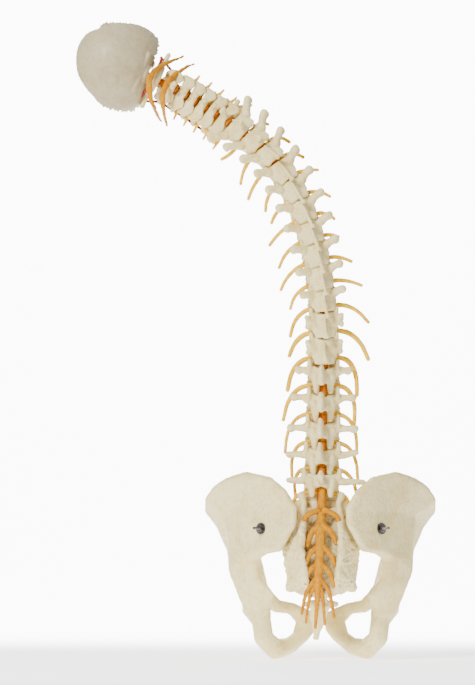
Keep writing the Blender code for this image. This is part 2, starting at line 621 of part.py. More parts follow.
def build_sacrum():
    bm = bmesh.new()
    for names in SACRUM_HULLS:
        balls = [SACRUM_BALLS[name] for name in names]
        add_hull(bm, balls)
        if any(name.endswith("_side") for name in names):
            flips = [-1 if name.endswith("_side") else 1 for name in names]
            add_hull(bm, [(x * f, y, z, r) for f, (x, y, z, r) in zip(flips, balls)])
    plate = Matrix.Translation(SACRAL_TOP) @ turn(0, SACRAL_PITCH)
    half_width, half_depth = SACRAL_WIDTH / 2, SACRAL_DEPTH / 2
    drum = loft([oval(half_width * k, half_depth * k, z, 18, 0.12)
                 for z, k in ((-17, 0.8), (-6, 0.95), (1.5, 1.0))])
    append(bm, moved(drum, plate))
    sacrum = add_object("sacrum", bm, "bone", Matrix.Identity(4))
    fuse(sacrum, PELVIS_VOXEL, SACRUM_FACES)
    wide, tall = (SACRAL_WIDTH * 0.56, SACRAL_DEPTH * 0.56), 14
    bore = [Vector(p) for p in oval(ROD_BORE, ROD_BORE, 0, ROD_SIDES)]
    rings = [[p + Vector((0, 0, NUT_HEIGHT - 2)) for p in bore],
             [p + Vector((0, 0, SACRAL_TOP[2] - 8)) for p in bore],
             [plate @ p for p in bore],
             [plate @ p for p in oval(*wide, 0, ROD_SIDES)],
             [plate @ p for p in oval(*wide, tall, ROD_SIDES)]]
    seat = cylinder(NUT_RADIUS + 1.2, -20, NUT_HEIGHT + 0.4, 16)
    cutters = [loft(rings), seat, bolt_space(), mirrored(bolt_space())]
    cut(sacrum, cutters + [side_space(True), mirrored(side_space(True))])
    return sacrum


def build_hip(name, flip, parent):
    bm = bmesh.new()
    for names in HIP_HULLS:
        add_hull(bm, [HIP_BALLS[name] for name in names])
    hip = add_object(name, bm, "bone", Matrix.Identity(4))
    fuse(hip, PELVIS_VOXEL, HIP_FACES)
    cup = bmesh.new()
    bmesh.ops.create_icosphere(cup, subdivisions=2, radius=ACETABULUM_RADIUS,
                               matrix=Matrix.Translation(ACETABULUM))
    middle = box_mesh((-60, -40, -200), (SYMPHYSIS_HALF + 0.5, 200, 200))
    cut(hip, [cup, middle, side_space(False), bolt_space()])
    if flip:
        bm = bmesh.new()
        bm.from_mesh(hip.data)
        mirrored(bm)
        bm.to_mesh(hip.data)
        bm.free()
    attach(hip, parent)
    return hip


def attach(obj, parent):
    """Hangs an object on another without moving it."""
    obj.parent = parent
    obj.matrix_parent_inverse = parent.matrix_world.inverted()


# --- core, cord and vessels --------------------------------------------------------------------
def rod_mesh():
    ring = oval(ROD_RADIUS, ROD_RADIUS, 0, ROD_SIDES)
    plate = Matrix.Translation(SACRAL_TOP) @ turn(0, SACRAL_PITCH)
    rings = [[p + Vector((0, 0, 4.5)) for p in ring],
             [p + Vector((0, 0, SACRAL_TOP[2] - 8)) for p in ring], [plate @ p for p in ring]]
    for level in LEVELS:
        high = 1.0 if level.kind == "axis" else level.top
        for z in (-level.top, high):
            frame = level.straight @ slide_up(z)
            rings.append([frame @ p for p in ring])
    return loft(rings)


def nut_mesh():
    """A cap nut: flat closed end down, a blind hole for the rod in its upper face."""
    shape = [(NUT_RADIUS, 0), (NUT_RADIUS, NUT_HEIGHT), (ROD_BORE, NUT_HEIGHT), (ROD_BORE, 4)]
    return loft([oval(r, r, z, 16) for r, z in shape])


def in_frame(frame, path):
    """A path of balls, given in a frame, put in the model's frame."""
    return [(*(frame @ Vector((x, y, z))), r) for x, y, z, r in path]


NERVE_ENDS = {  # half the spread, and the fall, of the lower nerves' ends
    "l5": (31, 5), "l4": (38, 26), "l3": (42, 40), "l2": (41, 44), "l1": (42, 66),
    "t12": (43, 46), "t11": (52, 35), "t10": (53, 20), "t1": (44, 8),
}


def nerve_path(level):
    """One nerve on the right, from the cord out through the gap at a level's lower disc."""
    r = NERVE_RADIUS
    gap = level.back - 3.9
    out, fall = NERVE_ENDS.get(level.name, (level.half_span + 6, 7))
    if level.kind in ("cervical", "axis"):
        gap = level.back - 2.8
        return [(0, level.back - 7, 0, 2.5), (level.pillar - 3, gap, 0, r),
                (level.pillar + 5, gap, 0, r), (level.half_span + 3, gap + 2, -1, r)]
    path = [(0, level.back - 7, 0, 2.5), (level.pillar, gap, 0, 2.0),
            (level.pillar + 8, gap + 0.5, -1.5, r)]
    for share in (0.35, 0.7, 1.0):
        x = level.pillar + 8 + (out - level.pillar - 8) * (1 - (1 - share) ** 1.7)
        path.append((x, gap + 1 + 2 * share, -1.5 - fall * share ** 1.2, r))
    return path


def neck_loop(frame, z, gap, depth):
    """A nerve that wraps round the back of the neck, on the right half."""
    r = NERVE_RADIUS
    path = [(0, -14.5, z, 2.5), (15, gap, z, r), (25, gap, z, r), (32, -15, z, r),
            (30, -25, z, r), (20, -depth + 5, z, r), (8, -depth, z, r), (0, -depth - 0.5, z, r)]
    return in_frame(frame, path)


def build_cord(atlas_frame, head_frame, parent):
    bm = bmesh.new()
    spine = [SACRAL_TOP_CANAL]
    for level in LEVELS:
        for z in (-level.top * 0.6, level.top * 0.6):
            spine += in_frame(level.frame, [(0, level.back - 7, z, CORD_RADIUS)])
    spine += in_frame(atlas_frame, [(0, -12.5, 0, CORD_RADIUS)])
    spine += in_frame(head_frame, [(0, -8, 9, CORD_RADIUS + 0.5), (0, -8, 18, CORD_RADIUS + 1)])
    add_tube(bm, spine)
    for level in LEVELS:
        path = nerve_path(level)
        if level.name == "c2":
            continue
        add_tube(bm, in_frame(level.gap_frame, path))
        add_tube(bm, in_frame(level.gap_frame, [(-x, y, z, r) for x, y, z, r in path]))
    axis = LEVELS[-1]
    for frame, z, gap, depth in ((axis.gap_frame, 0, axis.back - 2.8, 42),
                                 (axis.frame, ATLAS_RISE / 2 - 0.5, -14, 38)):
        half = neck_loop(frame, z, gap, depth)
        add_tube(bm, half)
        other = neck_loop(frame @ Matrix.Scale(-1, 4, (1, 0, 0)), z, gap, depth)
        add_tube(bm, other)
    cord = add_object("spinal_cord", bm, "nerve", Matrix.Identity(4))
    fuse(cord, NERVE_VOXEL, CORD_FACES)
    attach(cord, parent)


SACRAL_TOP_CANAL = (0, -22.5, 30, CORD_RADIUS)
CAUDA = [(0, -31, 17, 4.5), (0, -41, 0, 5), (0, -48, -24, 5), (0, -49, -45, 4.5),
         (0, -47, -62, 4), (0, -40, -76, 3), (-1, -33, -90, 2.2), (-3, -25, -106, 1.8)]


def build_cauda(parent):
    """The bundle of nerves in the opened sacrum, with its side branches."""
    bm = bmesh.new()
    add_tube(bm, CAUDA)
    for x, y, z, out, down in ((3, -34, 16, 15, 15), (2, -43, -3, 14, 22), (2, -49, -24, 14, 22),
                               (2, -49, -43, 13, 22)):
        add_pair(bm, [(x, y, z, 2.2), (out * 0.7, y - 3, z - down * 0.5, 1.8)])
        add_pair(bm, [(out * 0.7, y - 3, z - down * 0.5, 1.8), (out, y - 3, z - down, 1.6)])
    add_pair(bm, [(1, -46, -62, 2.2), (8, -42, -84, 1.6)])
    add_pair(bm, [(8, -42, -84, 1.6), (13, -37, -100, 1.4)])
    cauda = add_object("cauda_equina", bm, "nerve", Matrix.Identity(4))
    fuse(cauda, NERVE_VOXEL, CAUDA_FACES)
    attach(cauda, parent)


def build_artery(name, side, atlas_frame, parent):
    """The vertebral artery: up in front of the side processes, then back over the atlas."""
    r = ARTERY_RADIUS
    path = []
    for level in LEVELS[-5:]:
        path += in_frame(level.frame, [(side * (level.half_span - 5), 3.2, -1, r)])
    path += in_frame(atlas_frame, [(side * 27, 6, 0, r), (side * 28, 4, 4.4, r),
                                   (side * 27, -6, 5.0, r), (side * 20, -15, 4.7, r),
                                   (side * 11, -19, 5.2, r)])
    bm = bmesh.new()
    add_tube(bm, path)
    artery = add_object(name, bm, "artery", Matrix.Identity(4))
    fuse(artery, NERVE_VOXEL, 360)
    attach(artery, parent)


# --- assembly ----------------------------------------------------------------------------------
def build_column(sacrum):
    """Every disc and vertebra, each with its origin at the middle of the disc it bends on."""
    below, below_size = sacrum, (SACRAL_WIDTH, SACRAL_DEPTH)
    names = ["s1"] + [level.name for level in LEVELS]
    makers = {"lumbar": lumbar, "lower": thoracic, "thoracic": thoracic, "cervical": cervical,
              "axis": axis_bone}
    for level, lower in zip(LEVELS, names):
        disc = add_object(f"disc_{level.name}_{lower}", disc_mesh(level, below_size), "cartilage",
                          level.side_frame, below)
        bm = moved(makers[level.kind](level), level.bend_frame.inverted() @ level.frame)
        bone = add_object(f"vertebra_{level.name}", bm, "bone", level.bend_frame, disc)
        fuse(bone, BONE_VOXEL, VERTEBRA_FACES)
        trim = spool(level.width, level.depth, level.top)
        if level.kind == "axis":
            trim.free()
            low = [oval(level.width * 0.62, level.depth * 0.62, -level.top - 4, ROD_SIDES),
                   oval(level.width * 0.62, level.depth * 0.62, -level.top, ROD_SIDES),
                   oval(ROD_BORE, ROD_BORE, -level.top, ROD_SIDES),
                   oval(ROD_BORE, ROD_BORE, 2, ROD_SIDES)]
            trim = loft(low)
        cut(bone, [moved(trim, level.frame)])
        below, below_size = bone, (level.width, level.depth)
    return below


def main():
    for obj in list(bpy.data.objects):
        bpy.data.objects.remove(obj)
    stack_levels()
    sacrum = build_sacrum()
    for side, flip in (("right", False), ("left", True)):
        build_hip(f"hip_bone_{side}", flip, sacrum)
        bolt = mirrored(bolt_mesh()) if flip else bolt_mesh()
        add_object(f"sacroiliac_bolt_{side}", bolt, "steel", Matrix.Identity(4), sacrum)
    pad = bmesh.new()
    add_hull(pad, [(0, 78, -99, 4), (0, 68, -113, 4), (0, 74, -104, 5)])
    symphysis = add_object("pubic_symphysis_disc", pad, "cartilage", Matrix.Identity(4), sacrum)
    keep = SYMPHYSIS_HALF
    cut(symphysis, [box_mesh((keep, 0, -200), (40, 200, 0)),
                    box_mesh((-40, 0, -200), (-keep, 200, 0))])

    axis_vertebra = build_column(sacrum)
    axis = LEVELS[-1]
    atlas_frame = axis.straight @ slide_up(ATLAS_RISE) @ turn(1.0, -3)
    bone = add_object("vertebra_c1", atlas(), "bone", atlas_frame, axis_vertebra)
    fuse(bone, BONE_VOXEL, VERTEBRA_FACES + 60)
    head_frame = atlas_frame @ slide_up(HEAD_RISE) @ turn(HEAD_ROLL, HEAD_PITCH)
    head = add_object("occipital_plate", occiput_mesh(), "bone", head_frame, bone)
    fuse(head, 1.6, OCCIPUT_FACES)

    add_object("core_rod", rod_mesh(), "steel", Matrix.Identity(4), sacrum)
    add_object("core_nut", nut_mesh(), "steel", Matrix.Identity(4), sacrum)
    build_cord(atlas_frame, head_frame, sacrum)
    build_cauda(sacrum)
    build_artery("vertebral_artery_right", 1, atlas_frame, sacrum)
    build_artery("vertebral_artery_left", -1, atlas_frame, sacrum)


main()
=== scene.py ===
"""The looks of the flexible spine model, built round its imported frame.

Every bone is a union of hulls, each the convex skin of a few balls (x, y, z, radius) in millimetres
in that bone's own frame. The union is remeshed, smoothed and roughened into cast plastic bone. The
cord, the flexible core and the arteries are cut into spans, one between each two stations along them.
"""

import json
import math

import bmesh
import bpy
import numpy as np
from mathutils import Matrix, Vector

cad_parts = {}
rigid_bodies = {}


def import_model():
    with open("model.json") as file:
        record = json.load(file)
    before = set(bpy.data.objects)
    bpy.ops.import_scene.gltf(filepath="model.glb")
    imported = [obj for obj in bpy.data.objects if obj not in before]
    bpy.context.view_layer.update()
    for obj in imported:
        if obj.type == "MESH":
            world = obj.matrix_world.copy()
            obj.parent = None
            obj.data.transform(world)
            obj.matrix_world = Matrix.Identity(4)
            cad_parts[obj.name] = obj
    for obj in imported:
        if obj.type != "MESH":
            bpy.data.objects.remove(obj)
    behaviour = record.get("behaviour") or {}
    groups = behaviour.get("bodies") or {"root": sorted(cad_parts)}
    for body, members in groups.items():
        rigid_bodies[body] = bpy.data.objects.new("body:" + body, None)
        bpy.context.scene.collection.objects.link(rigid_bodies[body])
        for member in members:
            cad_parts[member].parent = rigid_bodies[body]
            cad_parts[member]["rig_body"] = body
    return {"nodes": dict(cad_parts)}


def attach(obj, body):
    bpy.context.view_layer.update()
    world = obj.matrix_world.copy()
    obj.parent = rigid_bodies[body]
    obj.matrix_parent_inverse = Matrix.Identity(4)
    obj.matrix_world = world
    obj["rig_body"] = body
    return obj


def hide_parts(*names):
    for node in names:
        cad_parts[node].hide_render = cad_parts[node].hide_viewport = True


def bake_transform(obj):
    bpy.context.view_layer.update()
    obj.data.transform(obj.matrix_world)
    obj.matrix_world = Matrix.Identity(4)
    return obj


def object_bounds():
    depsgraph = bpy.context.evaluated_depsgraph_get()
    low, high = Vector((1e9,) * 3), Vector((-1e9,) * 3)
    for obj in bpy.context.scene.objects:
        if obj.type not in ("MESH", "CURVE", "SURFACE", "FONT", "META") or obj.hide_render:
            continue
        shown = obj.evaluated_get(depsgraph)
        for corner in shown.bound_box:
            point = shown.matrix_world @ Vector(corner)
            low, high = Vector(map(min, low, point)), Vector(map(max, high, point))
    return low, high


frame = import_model()
CAD_LOW, CAD_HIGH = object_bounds()
NODES = frame["nodes"]
MM = 0.001

# --- driving dimensions, in millimetres and degrees --------------------------------------------
SACRAL_TOP = (0.0, 0.0, 29.5)  # centre of the sacrum's upper end plate
SACRAL_PITCH = 30.0  # how far that plate leans towards the belly
SACRAL_WIDTH, SACRAL_DEPTH = 48.0, 31.0
ROD_RADIUS = 3.0  # the flexible core, which runs through every vertebral body
ROD_BORE = 3.6
CANAL_DEPTH = 15.0
NUT_RADIUS = 9.0
NUT_HEIGHT = 9.0
ATLAS_RISE = 16.5  # from the middle of the axis to the middle of the atlas
HEAD_RISE = 11.5  # from the middle of the atlas to the joint that the head nods on
HEAD_ROLL, HEAD_PITCH = 5.0, 4.0
SKULL_RADIUS = (68.0, 72.0, 64.0)
SKULL_CENTRE = (0.0, 34.0, 40.0)
SKULL_WALL = 5.5
ACETABULUM = (100.0, 55.0, -69.0)
ACETABULUM_RADIUS = 24.0
BOLT_SEAT = (70.0, -18.0, 2.0)  # where the washer meets the hip bone
BOLT_AXIS = (-0.57, 0.82, -0.06)
BOLT_RADIUS, BOLT_BORE = 1.7, 2.2
BOLT_OUT, BOLT_IN = 16.0, 39.0  # how far the bolt reaches to each side of the washer's seat
NUT_SIZE = 4.2
WASHER_RADIUS = 6.8
SYMPHYSIS_HALF = 2.6
JOINT_POINT = (51.0, 5.0, 0.0)  # on the joint between sacrum and hip bone
JOINT_NORMAL = (0.96, -0.275, 0.0)
KERF = 0.5  # half the gap at that joint
CORD_RADIUS = 5.0
NERVE_RADIUS = 1.7
ARTERY_RADIUS = 1.8
BALL_POINTS = 40  # the points that stand for a ball in a hull
HEXAGON_STEPS = 8  # the points on each side of a nut

# --- lamps, camera and backdrop, in metres -----------------------------------------------------
WALL_GLOW, FLOOR_GLOW, DIM_GLOW = 9.0, 1.9, 0.1
WORLD_GLOW = 0.28
LAMPS = [("key", (-1.5, -2.3, 1.9), 0.7, 165.0), ("fill", (2.2, -1.8, 0.3), 1.6, 14.0),
         ("top", (0.2, -0.2, 2.8), 1.0, 26.0)]
CAMERA_FAR = 10.0
FRAME_TALL = 0.8015  # how much of the model's plane the frame's height takes in, in metres
CAMERA_X, CAMERA_Z = -0.0977, 0.2194
FLOOR_GAP = 0.002  # how far the paper lies under the model
FLOOR_FRONT, FLOOR_HALF_WIDTH = -16.0, 4.0
CURVE_START, CURVE_RADIUS, WALL_TOP = 1.2, 0.9, 3.6
GLOW_OFFSET = 0.1  # added to X, so that the glow is centred on the picture and not on the pelvis

TWISTS = {  # how far each bone is turned about the spine's own axis, in degrees
    "t12": 2, "t11": 5, "t10": 8, "t9": 10, "t8": 12, "t7": 13, "t6": 13, "t5": 13, "t4": 13,
    "t3": 13, "t2": 12, "t1": 10, "c7": 8, "c6": 6, "c5": 4, "c4": 3, "c3": 2, "c2": 1,
}


class Level:
    """One vertebra: its size, and how it sits on the level below.

    size is the body's width, depth and height. disc is the height of the disc under it. roll and
    pitch are the bend at that disc, to the model's left and towards the belly. half_span is half
    the width over the transverse processes, and pillar the distance of the joint pillars from
    the middle. spine_back and spine_drop are the reach of the spinous process behind the lamina
    and below the body's middle, and spine_tall is the height of its tip. Where the spine bends
    it also twists, by TWISTS, so that the spinous processes lean to the model's right.
    """

    def __init__(self, name, kind, size, disc, bend, half_span, pillar, spine):
        self.name = name
        self.kind = kind
        self.width, self.depth, self.height = size
        self.disc = disc
        self.roll, self.pitch = bend
        self.twist = TWISTS.get(name, 0.0)
        self.half_span = half_span
        self.pillar = pillar
        self.spine_back, self.spine_drop, self.spine_tall = spine
        self.top = self.height / 2
        self.back = -self.depth / 2
        self.joint_y = self.back - 0.75 * CANAL_DEPTH
        self.lamina_y = self.back - CANAL_DEPTH - 2.5


LEVELS = [
    Level("l5", "lumbar", (47, 33, 25.0), 8.7, (-1.7, -11), 47.0, 17.5, (17, 5, 8)),
    Level("l4", "lumbar", (45, 33, 26.3), 8.9, (0.1, -10), 43.0, 15.5, (21, 4, 12)),
    Level("l3", "lumbar", (43, 32, 27.7), 8.9, (0.3, -9), 42.5, 14.5, (22, 4, 16)),
    Level("l2", "lumbar", (41, 31, 27.8), 8.5, (0.2, -7), 39.5, 13.5, (22, 4, 17)),
    Level("l1", "lumbar", (39, 30, 27.1), 7.9, (0.4, -5), 34.5, 13.0, (20, 5, 16)),
    Level("t12", "lower", (37, 28, 24.8), 7.2, (1.6, -2), 23.0, 12.5, (18, 7, 12)),
    Level("t11", "lower", (35, 27, 22.9), 6.4, (2.4, 1), 24.0, 12.5, (18, 11, 8)),
    Level("t10", "thoracic", (32, 26, 21.2), 5.7, (4.0, 3), 28.0, 12.5, (17, 19, 4)),
    Level("t9", "thoracic", (30, 26, 20.2), 5.6, (3.5, 4), 29.0, 12.5, (16, 23, 3)),
    Level("t8", "thoracic", (29, 25, 19.6), 5.0, (3.7, 4), 30.0, 12.5, (15, 26, 3)),
    Level("t7", "thoracic", (28, 25, 19.3), 5.0, (3.5, 4), 30.5, 12.5, (14, 27, 3)),
    Level("t6", "thoracic", (27, 24, 19.4), 4.7, (4.8, 4), 31.0, 12.5, (14, 27, 3)),
    Level("t5", "thoracic", (26, 23, 19.0), 4.7, (6.0, 4), 31.5, 12.5, (15, 25, 3)),
    Level("t4", "thoracic", (26, 22, 18.7), 4.7, (6.9, 4), 32.0, 13.0, (17, 22, 3)),
    Level("t3", "thoracic", (26, 21, 18.8), 4.8, (6.4, 3), 33.0, 13.5, (19, 18, 3)),
    Level("t2", "thoracic", (27, 20, 18.9), 5.0, (5.2, 3), 35.5, 14.5, (21, 14, 3)),
    Level("t1", "thoracic", (28, 19, 18.6), 5.1, (3.8, 2), 37.0, 16.0, (23, 10, 3)),
    Level("c7", "cervical", (25, 17, 14.8), 4.9, (2.3, 0), 30.0, 18.0, (23, 5, 2)),
    Level("c6", "cervical", (24, 16, 13.0), 4.7, (1.9, -5), 26.5, 18.5, (15, 4, 2)),
    Level("c5", "cervical", (22, 15, 12.0), 4.5, (1.9, -6), 25.5, 18.5, (11, 3, 2)),
    Level("c4", "cervical", (21, 15, 11.7), 4.4, (1.9, -6), 25.0, 18.5, (10, 3, 2)),
    Level("c3", "cervical", (20, 15, 11.4), 4.3, (1.9, -5), 24.5, 18.5, (10, 3, 2)),
    Level("c2", "axis", (20, 15, 17.7), 4.3, (2.0, -4), 24.0, 17.5, (14, 4, 4)),
]

# The hip bone of the model's right side, in the model's frame. The left one is its mirror image.
HIP_BALLS = {
    "psis": (33, -46, 25, 5), "psis_low": (34, -46, 8, 5), "crest_back": (44, -40, 44, 5),
    "crest_a": (61, -26, 58, 5), "crest_top": (87, 0, 64, 5), "crest_b": (111, 30, 55, 5),
    "crest_c": (124, 50, 46, 5), "crest_d": (131.5, 68, 34, 5), "asis": (130, 88, 21, 6),
    "wing_back": (61, -22, 20, 5), "wing_mid": (85, 6, 22, 2.6), "wing_front": (108, 44, 16, 2.6),
    "under_asis": (118, 84, 2, 4.5), "aiis": (105, 76, -24, 6), "notch_top": (66, -18, -22, 6),
    "notch_back": (50, -40, -20, 5), "roof_back": (80, 12, -30, 9), "roof_front": (97, 58, -34, 9),
    "seat_front": (60, 6, 0, 7), "seat_low": (57, -12, -14, 6),
    "socket_back": (80, 18, -60, 10), "socket_front": (86, 72, -64, 7),
    "rim_top": (100, 30, -47, 8), "rim_mid": (93, 23, -66, 8.5), "rim_low": (83, 23, -88, 10),
    "rim_under": (86, 46, -96, 6), "ischial_spine": (58, 2, -76, 3.5),
    "column": (69, 20, -90, 10),
    "ischium": (70, 20, -106, 12), "tuber": (67, 10, -127, 11.5),
    "tuber_low": (54, 14, -140, 12), "ramus": (37, 38, -137, 10), "ramus_up": (24, 54, -127, 9.5),
    "pubis_low": (12, 66, -117, 7), "pubis": (10.5, 74, -104, 7), "pubis_mid": (21, 70, -108, 8),
    "pubis_top": (17, 80, -101, 6.5), "superior": (34, 77, -94, 7),
    "superior_out": (52, 68, -91, 8), "socket_in": (70, 50, -70, 9),
}
HIP_HULLS = [
    ("psis", "psis_low", "wing_back"), ("psis", "crest_back", "wing_back"),
    ("crest_back", "crest_a", "wing_back"), ("crest_a", "wing_mid", "wing_back"),
    ("crest_a", "crest_top", "wing_mid"), ("crest_top", "crest_b", "wing_mid"),
    ("crest_b", "wing_front", "wing_mid"), ("crest_b", "crest_c", "wing_front"),
    ("crest_c", "crest_d", "wing_front"), ("crest_d", "asis", "wing_front"),
    ("asis", "under_asis", "wing_front"), ("under_asis", "aiis", "wing_front"),
    ("aiis", "roof_front", "wing_front"), ("wing_front", "roof_front", "roof_back"),
    ("wing_front", "wing_mid", "roof_back"), ("wing_mid", "wing_back", "roof_back"),
    ("wing_back", "notch_top", "roof_back"), ("wing_back", "notch_top", "notch_back"),
    ("wing_back", "psis_low", "notch_back"), ("roof_back", "roof_front", "rim_top"),
    ("roof_back", "socket_back", "rim_top"), ("rim_top", "rim_mid", "socket_back"),
    ("roof_back", "socket_back", "socket_in"), ("roof_back", "roof_front", "socket_in"),
    ("roof_front", "socket_front", "socket_in"), ("socket_front", "rim_under", "socket_in"),
    ("socket_back", "rim_low", "socket_in"), ("rim_low", "rim_under", "socket_in"),
    ("rim_mid", "rim_low", "socket_back"), ("socket_back", "ischial_spine", "rim_low"),
    ("aiis", "roof_front", "rim_top"), ("wing_front", "roof_back", "rim_top", "aiis"),
    ("socket_back", "rim_low", "ischium", "column"), ("ischium", "tuber"),
    ("ischial_spine", "column", "socket_back"),
    ("ischium", "rim_under"), ("tuber", "tuber_low"), ("tuber_low", "ramus"),
    ("ramus", "ramus_up"), ("ramus_up", "pubis_low", "pubis_mid"),
    ("pubis_low", "pubis", "pubis_top", "pubis_mid"), ("pubis_top", "pubis_mid", "superior"),
    ("superior", "superior_out"), ("superior_out", "socket_in"),
    ("superior_out", "socket_front"), ("seat_front", "seat_low", "wing_back"),
    ("seat_front", "roof_back", "wing_mid"), ("seat_front", "wing_back", "wing_mid"),
    ("seat_front", "seat_low", "roof_back", "notch_top"), ("seat_low", "notch_back", "wing_back"),
]

# The sacrum and coccyx, in the model's frame. Names that end in _side come in mirrored pairs.
SACRUM_BALLS = {
    "s1": (0, -8, 12, 11), "s1_front": (0, 4, 14, 7), "s2": (0, -24, -8, 9),
    "s3": (0, -34, -31, 8), "s4": (0, -35, -53, 7.5), "s5": (0, -29, -73, 6.5),
    "coccyx_1": (-1, -21, -87, 7.5), "coccyx_2": (-3, -13, -100, 6.5),
    "coccyx_3": (-4, -6, -112, 5), "coccyx_4": (-5, -2, -124, 3.5),
    "ala_side": (43, 8, 18, 8), "ala_low_side": (45, 6, 2, 8), "flank_side": (40, -22, -26, 6),
    "angle_side": (32.5, -28, -62, 7), "foot_side": (22, -27, -70, 5),
    "body_side": (20, -14, 4, 9), "wall_1_side": (21, -27, 20, 4),
    "wall_2_side": (23, -44, -2, 4), "wall_3_side": (23, -53, -27, 4),
    "wall_4_side": (20, -53, -50, 4), "wall_5_side": (17, -44, -68, 3.5),
    "horn_side": (20, -22, 33, 3.5), "neck_side": (15, -20, 22, 5),
    "cornu_side": (17, -20, -86, 3.5),
}
SACRUM_HULLS = [
    ("s1", "s1_front", "s2"), ("s2", "s3"), ("s3", "s4"), ("s4", "s5"), ("s5", "coccyx_1"),
    ("coccyx_1", "coccyx_2"), ("coccyx_2", "coccyx_3"), ("coccyx_3", "coccyx_4"),
    ("s1", "s1_front", "ala_side", "body_side"), ("ala_side", "ala_low_side", "body_side"),
    ("body_side", "s2", "flank_side", "ala_low_side"), ("s2", "s3", "flank_side"),
    ("s3", "s4", "flank_side"), ("flank_side", "angle_side", "s4"), ("angle_side", "s4", "s5"),
    ("foot_side", "angle_side", "s5"), ("wall_1_side", "wall_2_side", "body_side"),
    ("wall_2_side", "wall_3_side", "flank_side"), ("wall_3_side", "wall_4_side", "angle_side"),
    ("wall_4_side", "wall_5_side", "angle_side"), ("wall_2_side", "body_side", "flank_side"),
    ("wall_1_side", "body_side", "neck_side"), ("horn_side", "wall_1_side"),
    ("wall_5_side", "foot_side"), ("neck_side", "s1", "body_side"),
    ("coccyx_1", "cornu_side"), ("foot_side", "s5", "wall_5_side"),
    ("wall_3_side", "flank_side", "angle_side"),
]


# --- frames ------------------------------------------------------------------------------------
def turn(roll, pitch):
    """A lean to the model's left by roll, then towards the belly by pitch."""
    sideways = Matrix.Rotation(math.radians(-roll), 4, "Y")
    return sideways @ Matrix.Rotation(math.radians(-pitch), 4, "X")


def slide_up(distance):
    return Matrix.Translation((0, 0, distance))


def stack_levels():
    """Gives each level its frames: the plate below it, its pivot bent sideways and then also
    forwards, its body untwisted, the bone's own, and the gap at its lower disc, twisted too."""
    plate = Matrix.Translation(SACRAL_TOP) @ turn(0, SACRAL_PITCH)
    for level in LEVELS:
        level.plate_below = plate
        level.side_frame = plate @ slide_up(level.disc / 2) @ turn(level.roll, 0)
        level.bend_frame = plate @ slide_up(level.disc / 2) @ turn(level.roll, level.pitch)
        twist = Matrix.Rotation(math.radians(level.twist), 4, "Z")
        level.straight = level.bend_frame @ slide_up(level.disc / 2 + level.top)
        level.frame = level.straight @ twist
        level.gap_frame = level.side_frame @ twist
        plate = level.straight @ slide_up(level.top)


# --- modelling tools ---------------------------------------------------------------------------
def ball_points(x, y, z, radius):
    """Points spread evenly over a ball."""
    points = []
    for i in range(BALL_POINTS):
        height = 1 - 2 * (i + 0.5) / BALL_POINTS
        ring = math.sqrt(1 - height * height)
        angle = i * math.pi * (3 - math.sqrt(5))
        points.append(Vector((x + radius * ring * math.cos(angle),
                              y + radius * ring * math.sin(angle), z + radius * height)))
    return points


def append(bm, other):
    """Adds another mesh's shells to this one."""
    bmesh.ops.recalc_face_normals(other, faces=other.faces)
    carrier = bpy.data.meshes.new("carrier")
    other.to_mesh(carrier)
    other.free()
    bm.from_mesh(carrier)
    bpy.data.meshes.remove(carrier)


def add_hull(bm, balls):
    """The convex skin of some balls, as a closed shell of its own."""
    skin = bmesh.new()
    for ball in balls:
        for point in ball_points(*ball):
            skin.verts.new(point)
    made = bmesh.ops.convex_hull(skin, input=skin.verts)
    inside = [v for v in made["geom_interior"] if isinstance(v, bmesh.types.BMVert)]
    bmesh.ops.delete(skin, geom=inside, context="VERTS")
    append(bm, skin)


def add_pair(bm, balls):
    """A hull on the right and its mirror image on the left."""
    add_hull(bm, balls)
    add_hull(bm, [(-x, y, z, r) for x, y, z, r in balls])


def add_tube(bm, balls):
    """A chain of hulls, each between two neighbouring balls."""
    for a, b in zip(balls, balls[1:]):
        add_hull(bm, [a, b])


def oval(half_width, half_depth, z, sides, flat_back=0.0):
    """A ring of points round an oval. flat_back pulls the rear half in."""
    points = []
    for i in range(sides):
        angle = 2 * math.pi * (i + 0.5) / sides
        y = half_depth * math.sin(angle)
        if y < 0:
            y *= 1 - flat_back
        points.append(Vector((half_width * math.cos(angle), y, z)))
    return points


def loft(rings, closed=False):
    """A mesh skinned over rings of equal count. closed joins the last ring to the first."""
    bm = bmesh.new()
    made = [[bm.verts.new(point) for point in ring] for ring in rings]
    count = len(made[0])
    pairs = list(zip(made, made[1:])) + ([(made[-1], made[0])] if closed else [])
    for low, high in pairs:
        for i in range(count):
            j = (i + 1) % count
            bm.faces.new((low[i], low[j], high[j], high[i]))
    if not closed:
        bm.faces.new(reversed(made[0]))
        bm.faces.new(made[-1])
    bmesh.ops.recalc_face_normals(bm, faces=bm.faces)
    return bm


def moved(bm, place):
    """The same mesh, read in another frame."""
    bmesh.ops.transform(bm, matrix=place, verts=bm.verts)
    return bm


def facing(origin, direction, side):
    """A frame at origin whose Z points along direction, with X as near side as can be."""
    z = Vector(direction).normalized()
    y = z.cross(Vector(side)).normalized()
    x = y.cross(z)
    made = Matrix((x, y, z)).transposed().to_4x4()
    made.translation = Vector(origin)
    return made


def shade_smooth(mesh):
    for polygon in mesh.polygons:
        polygon.use_smooth = True


def linked(obj):
    """Puts an object in the scene, and gives it back."""
    bpy.context.scene.collection.objects.link(obj)
    return obj


def new_piece(name, bm, place=None):
    """Links a mesh, given in millimetres in a frame's own axes, in the model's frame."""
    if place is not None:
        moved(bm, place)
    bmesh.ops.scale(bm, vec=(MM, MM, MM), verts=bm.verts)
    mesh = bpy.data.meshes.new(name)
    bm.to_mesh(mesh)
    bm.free()
    shade_smooth(mesh)
    return linked(bpy.data.objects.new(name, mesh))


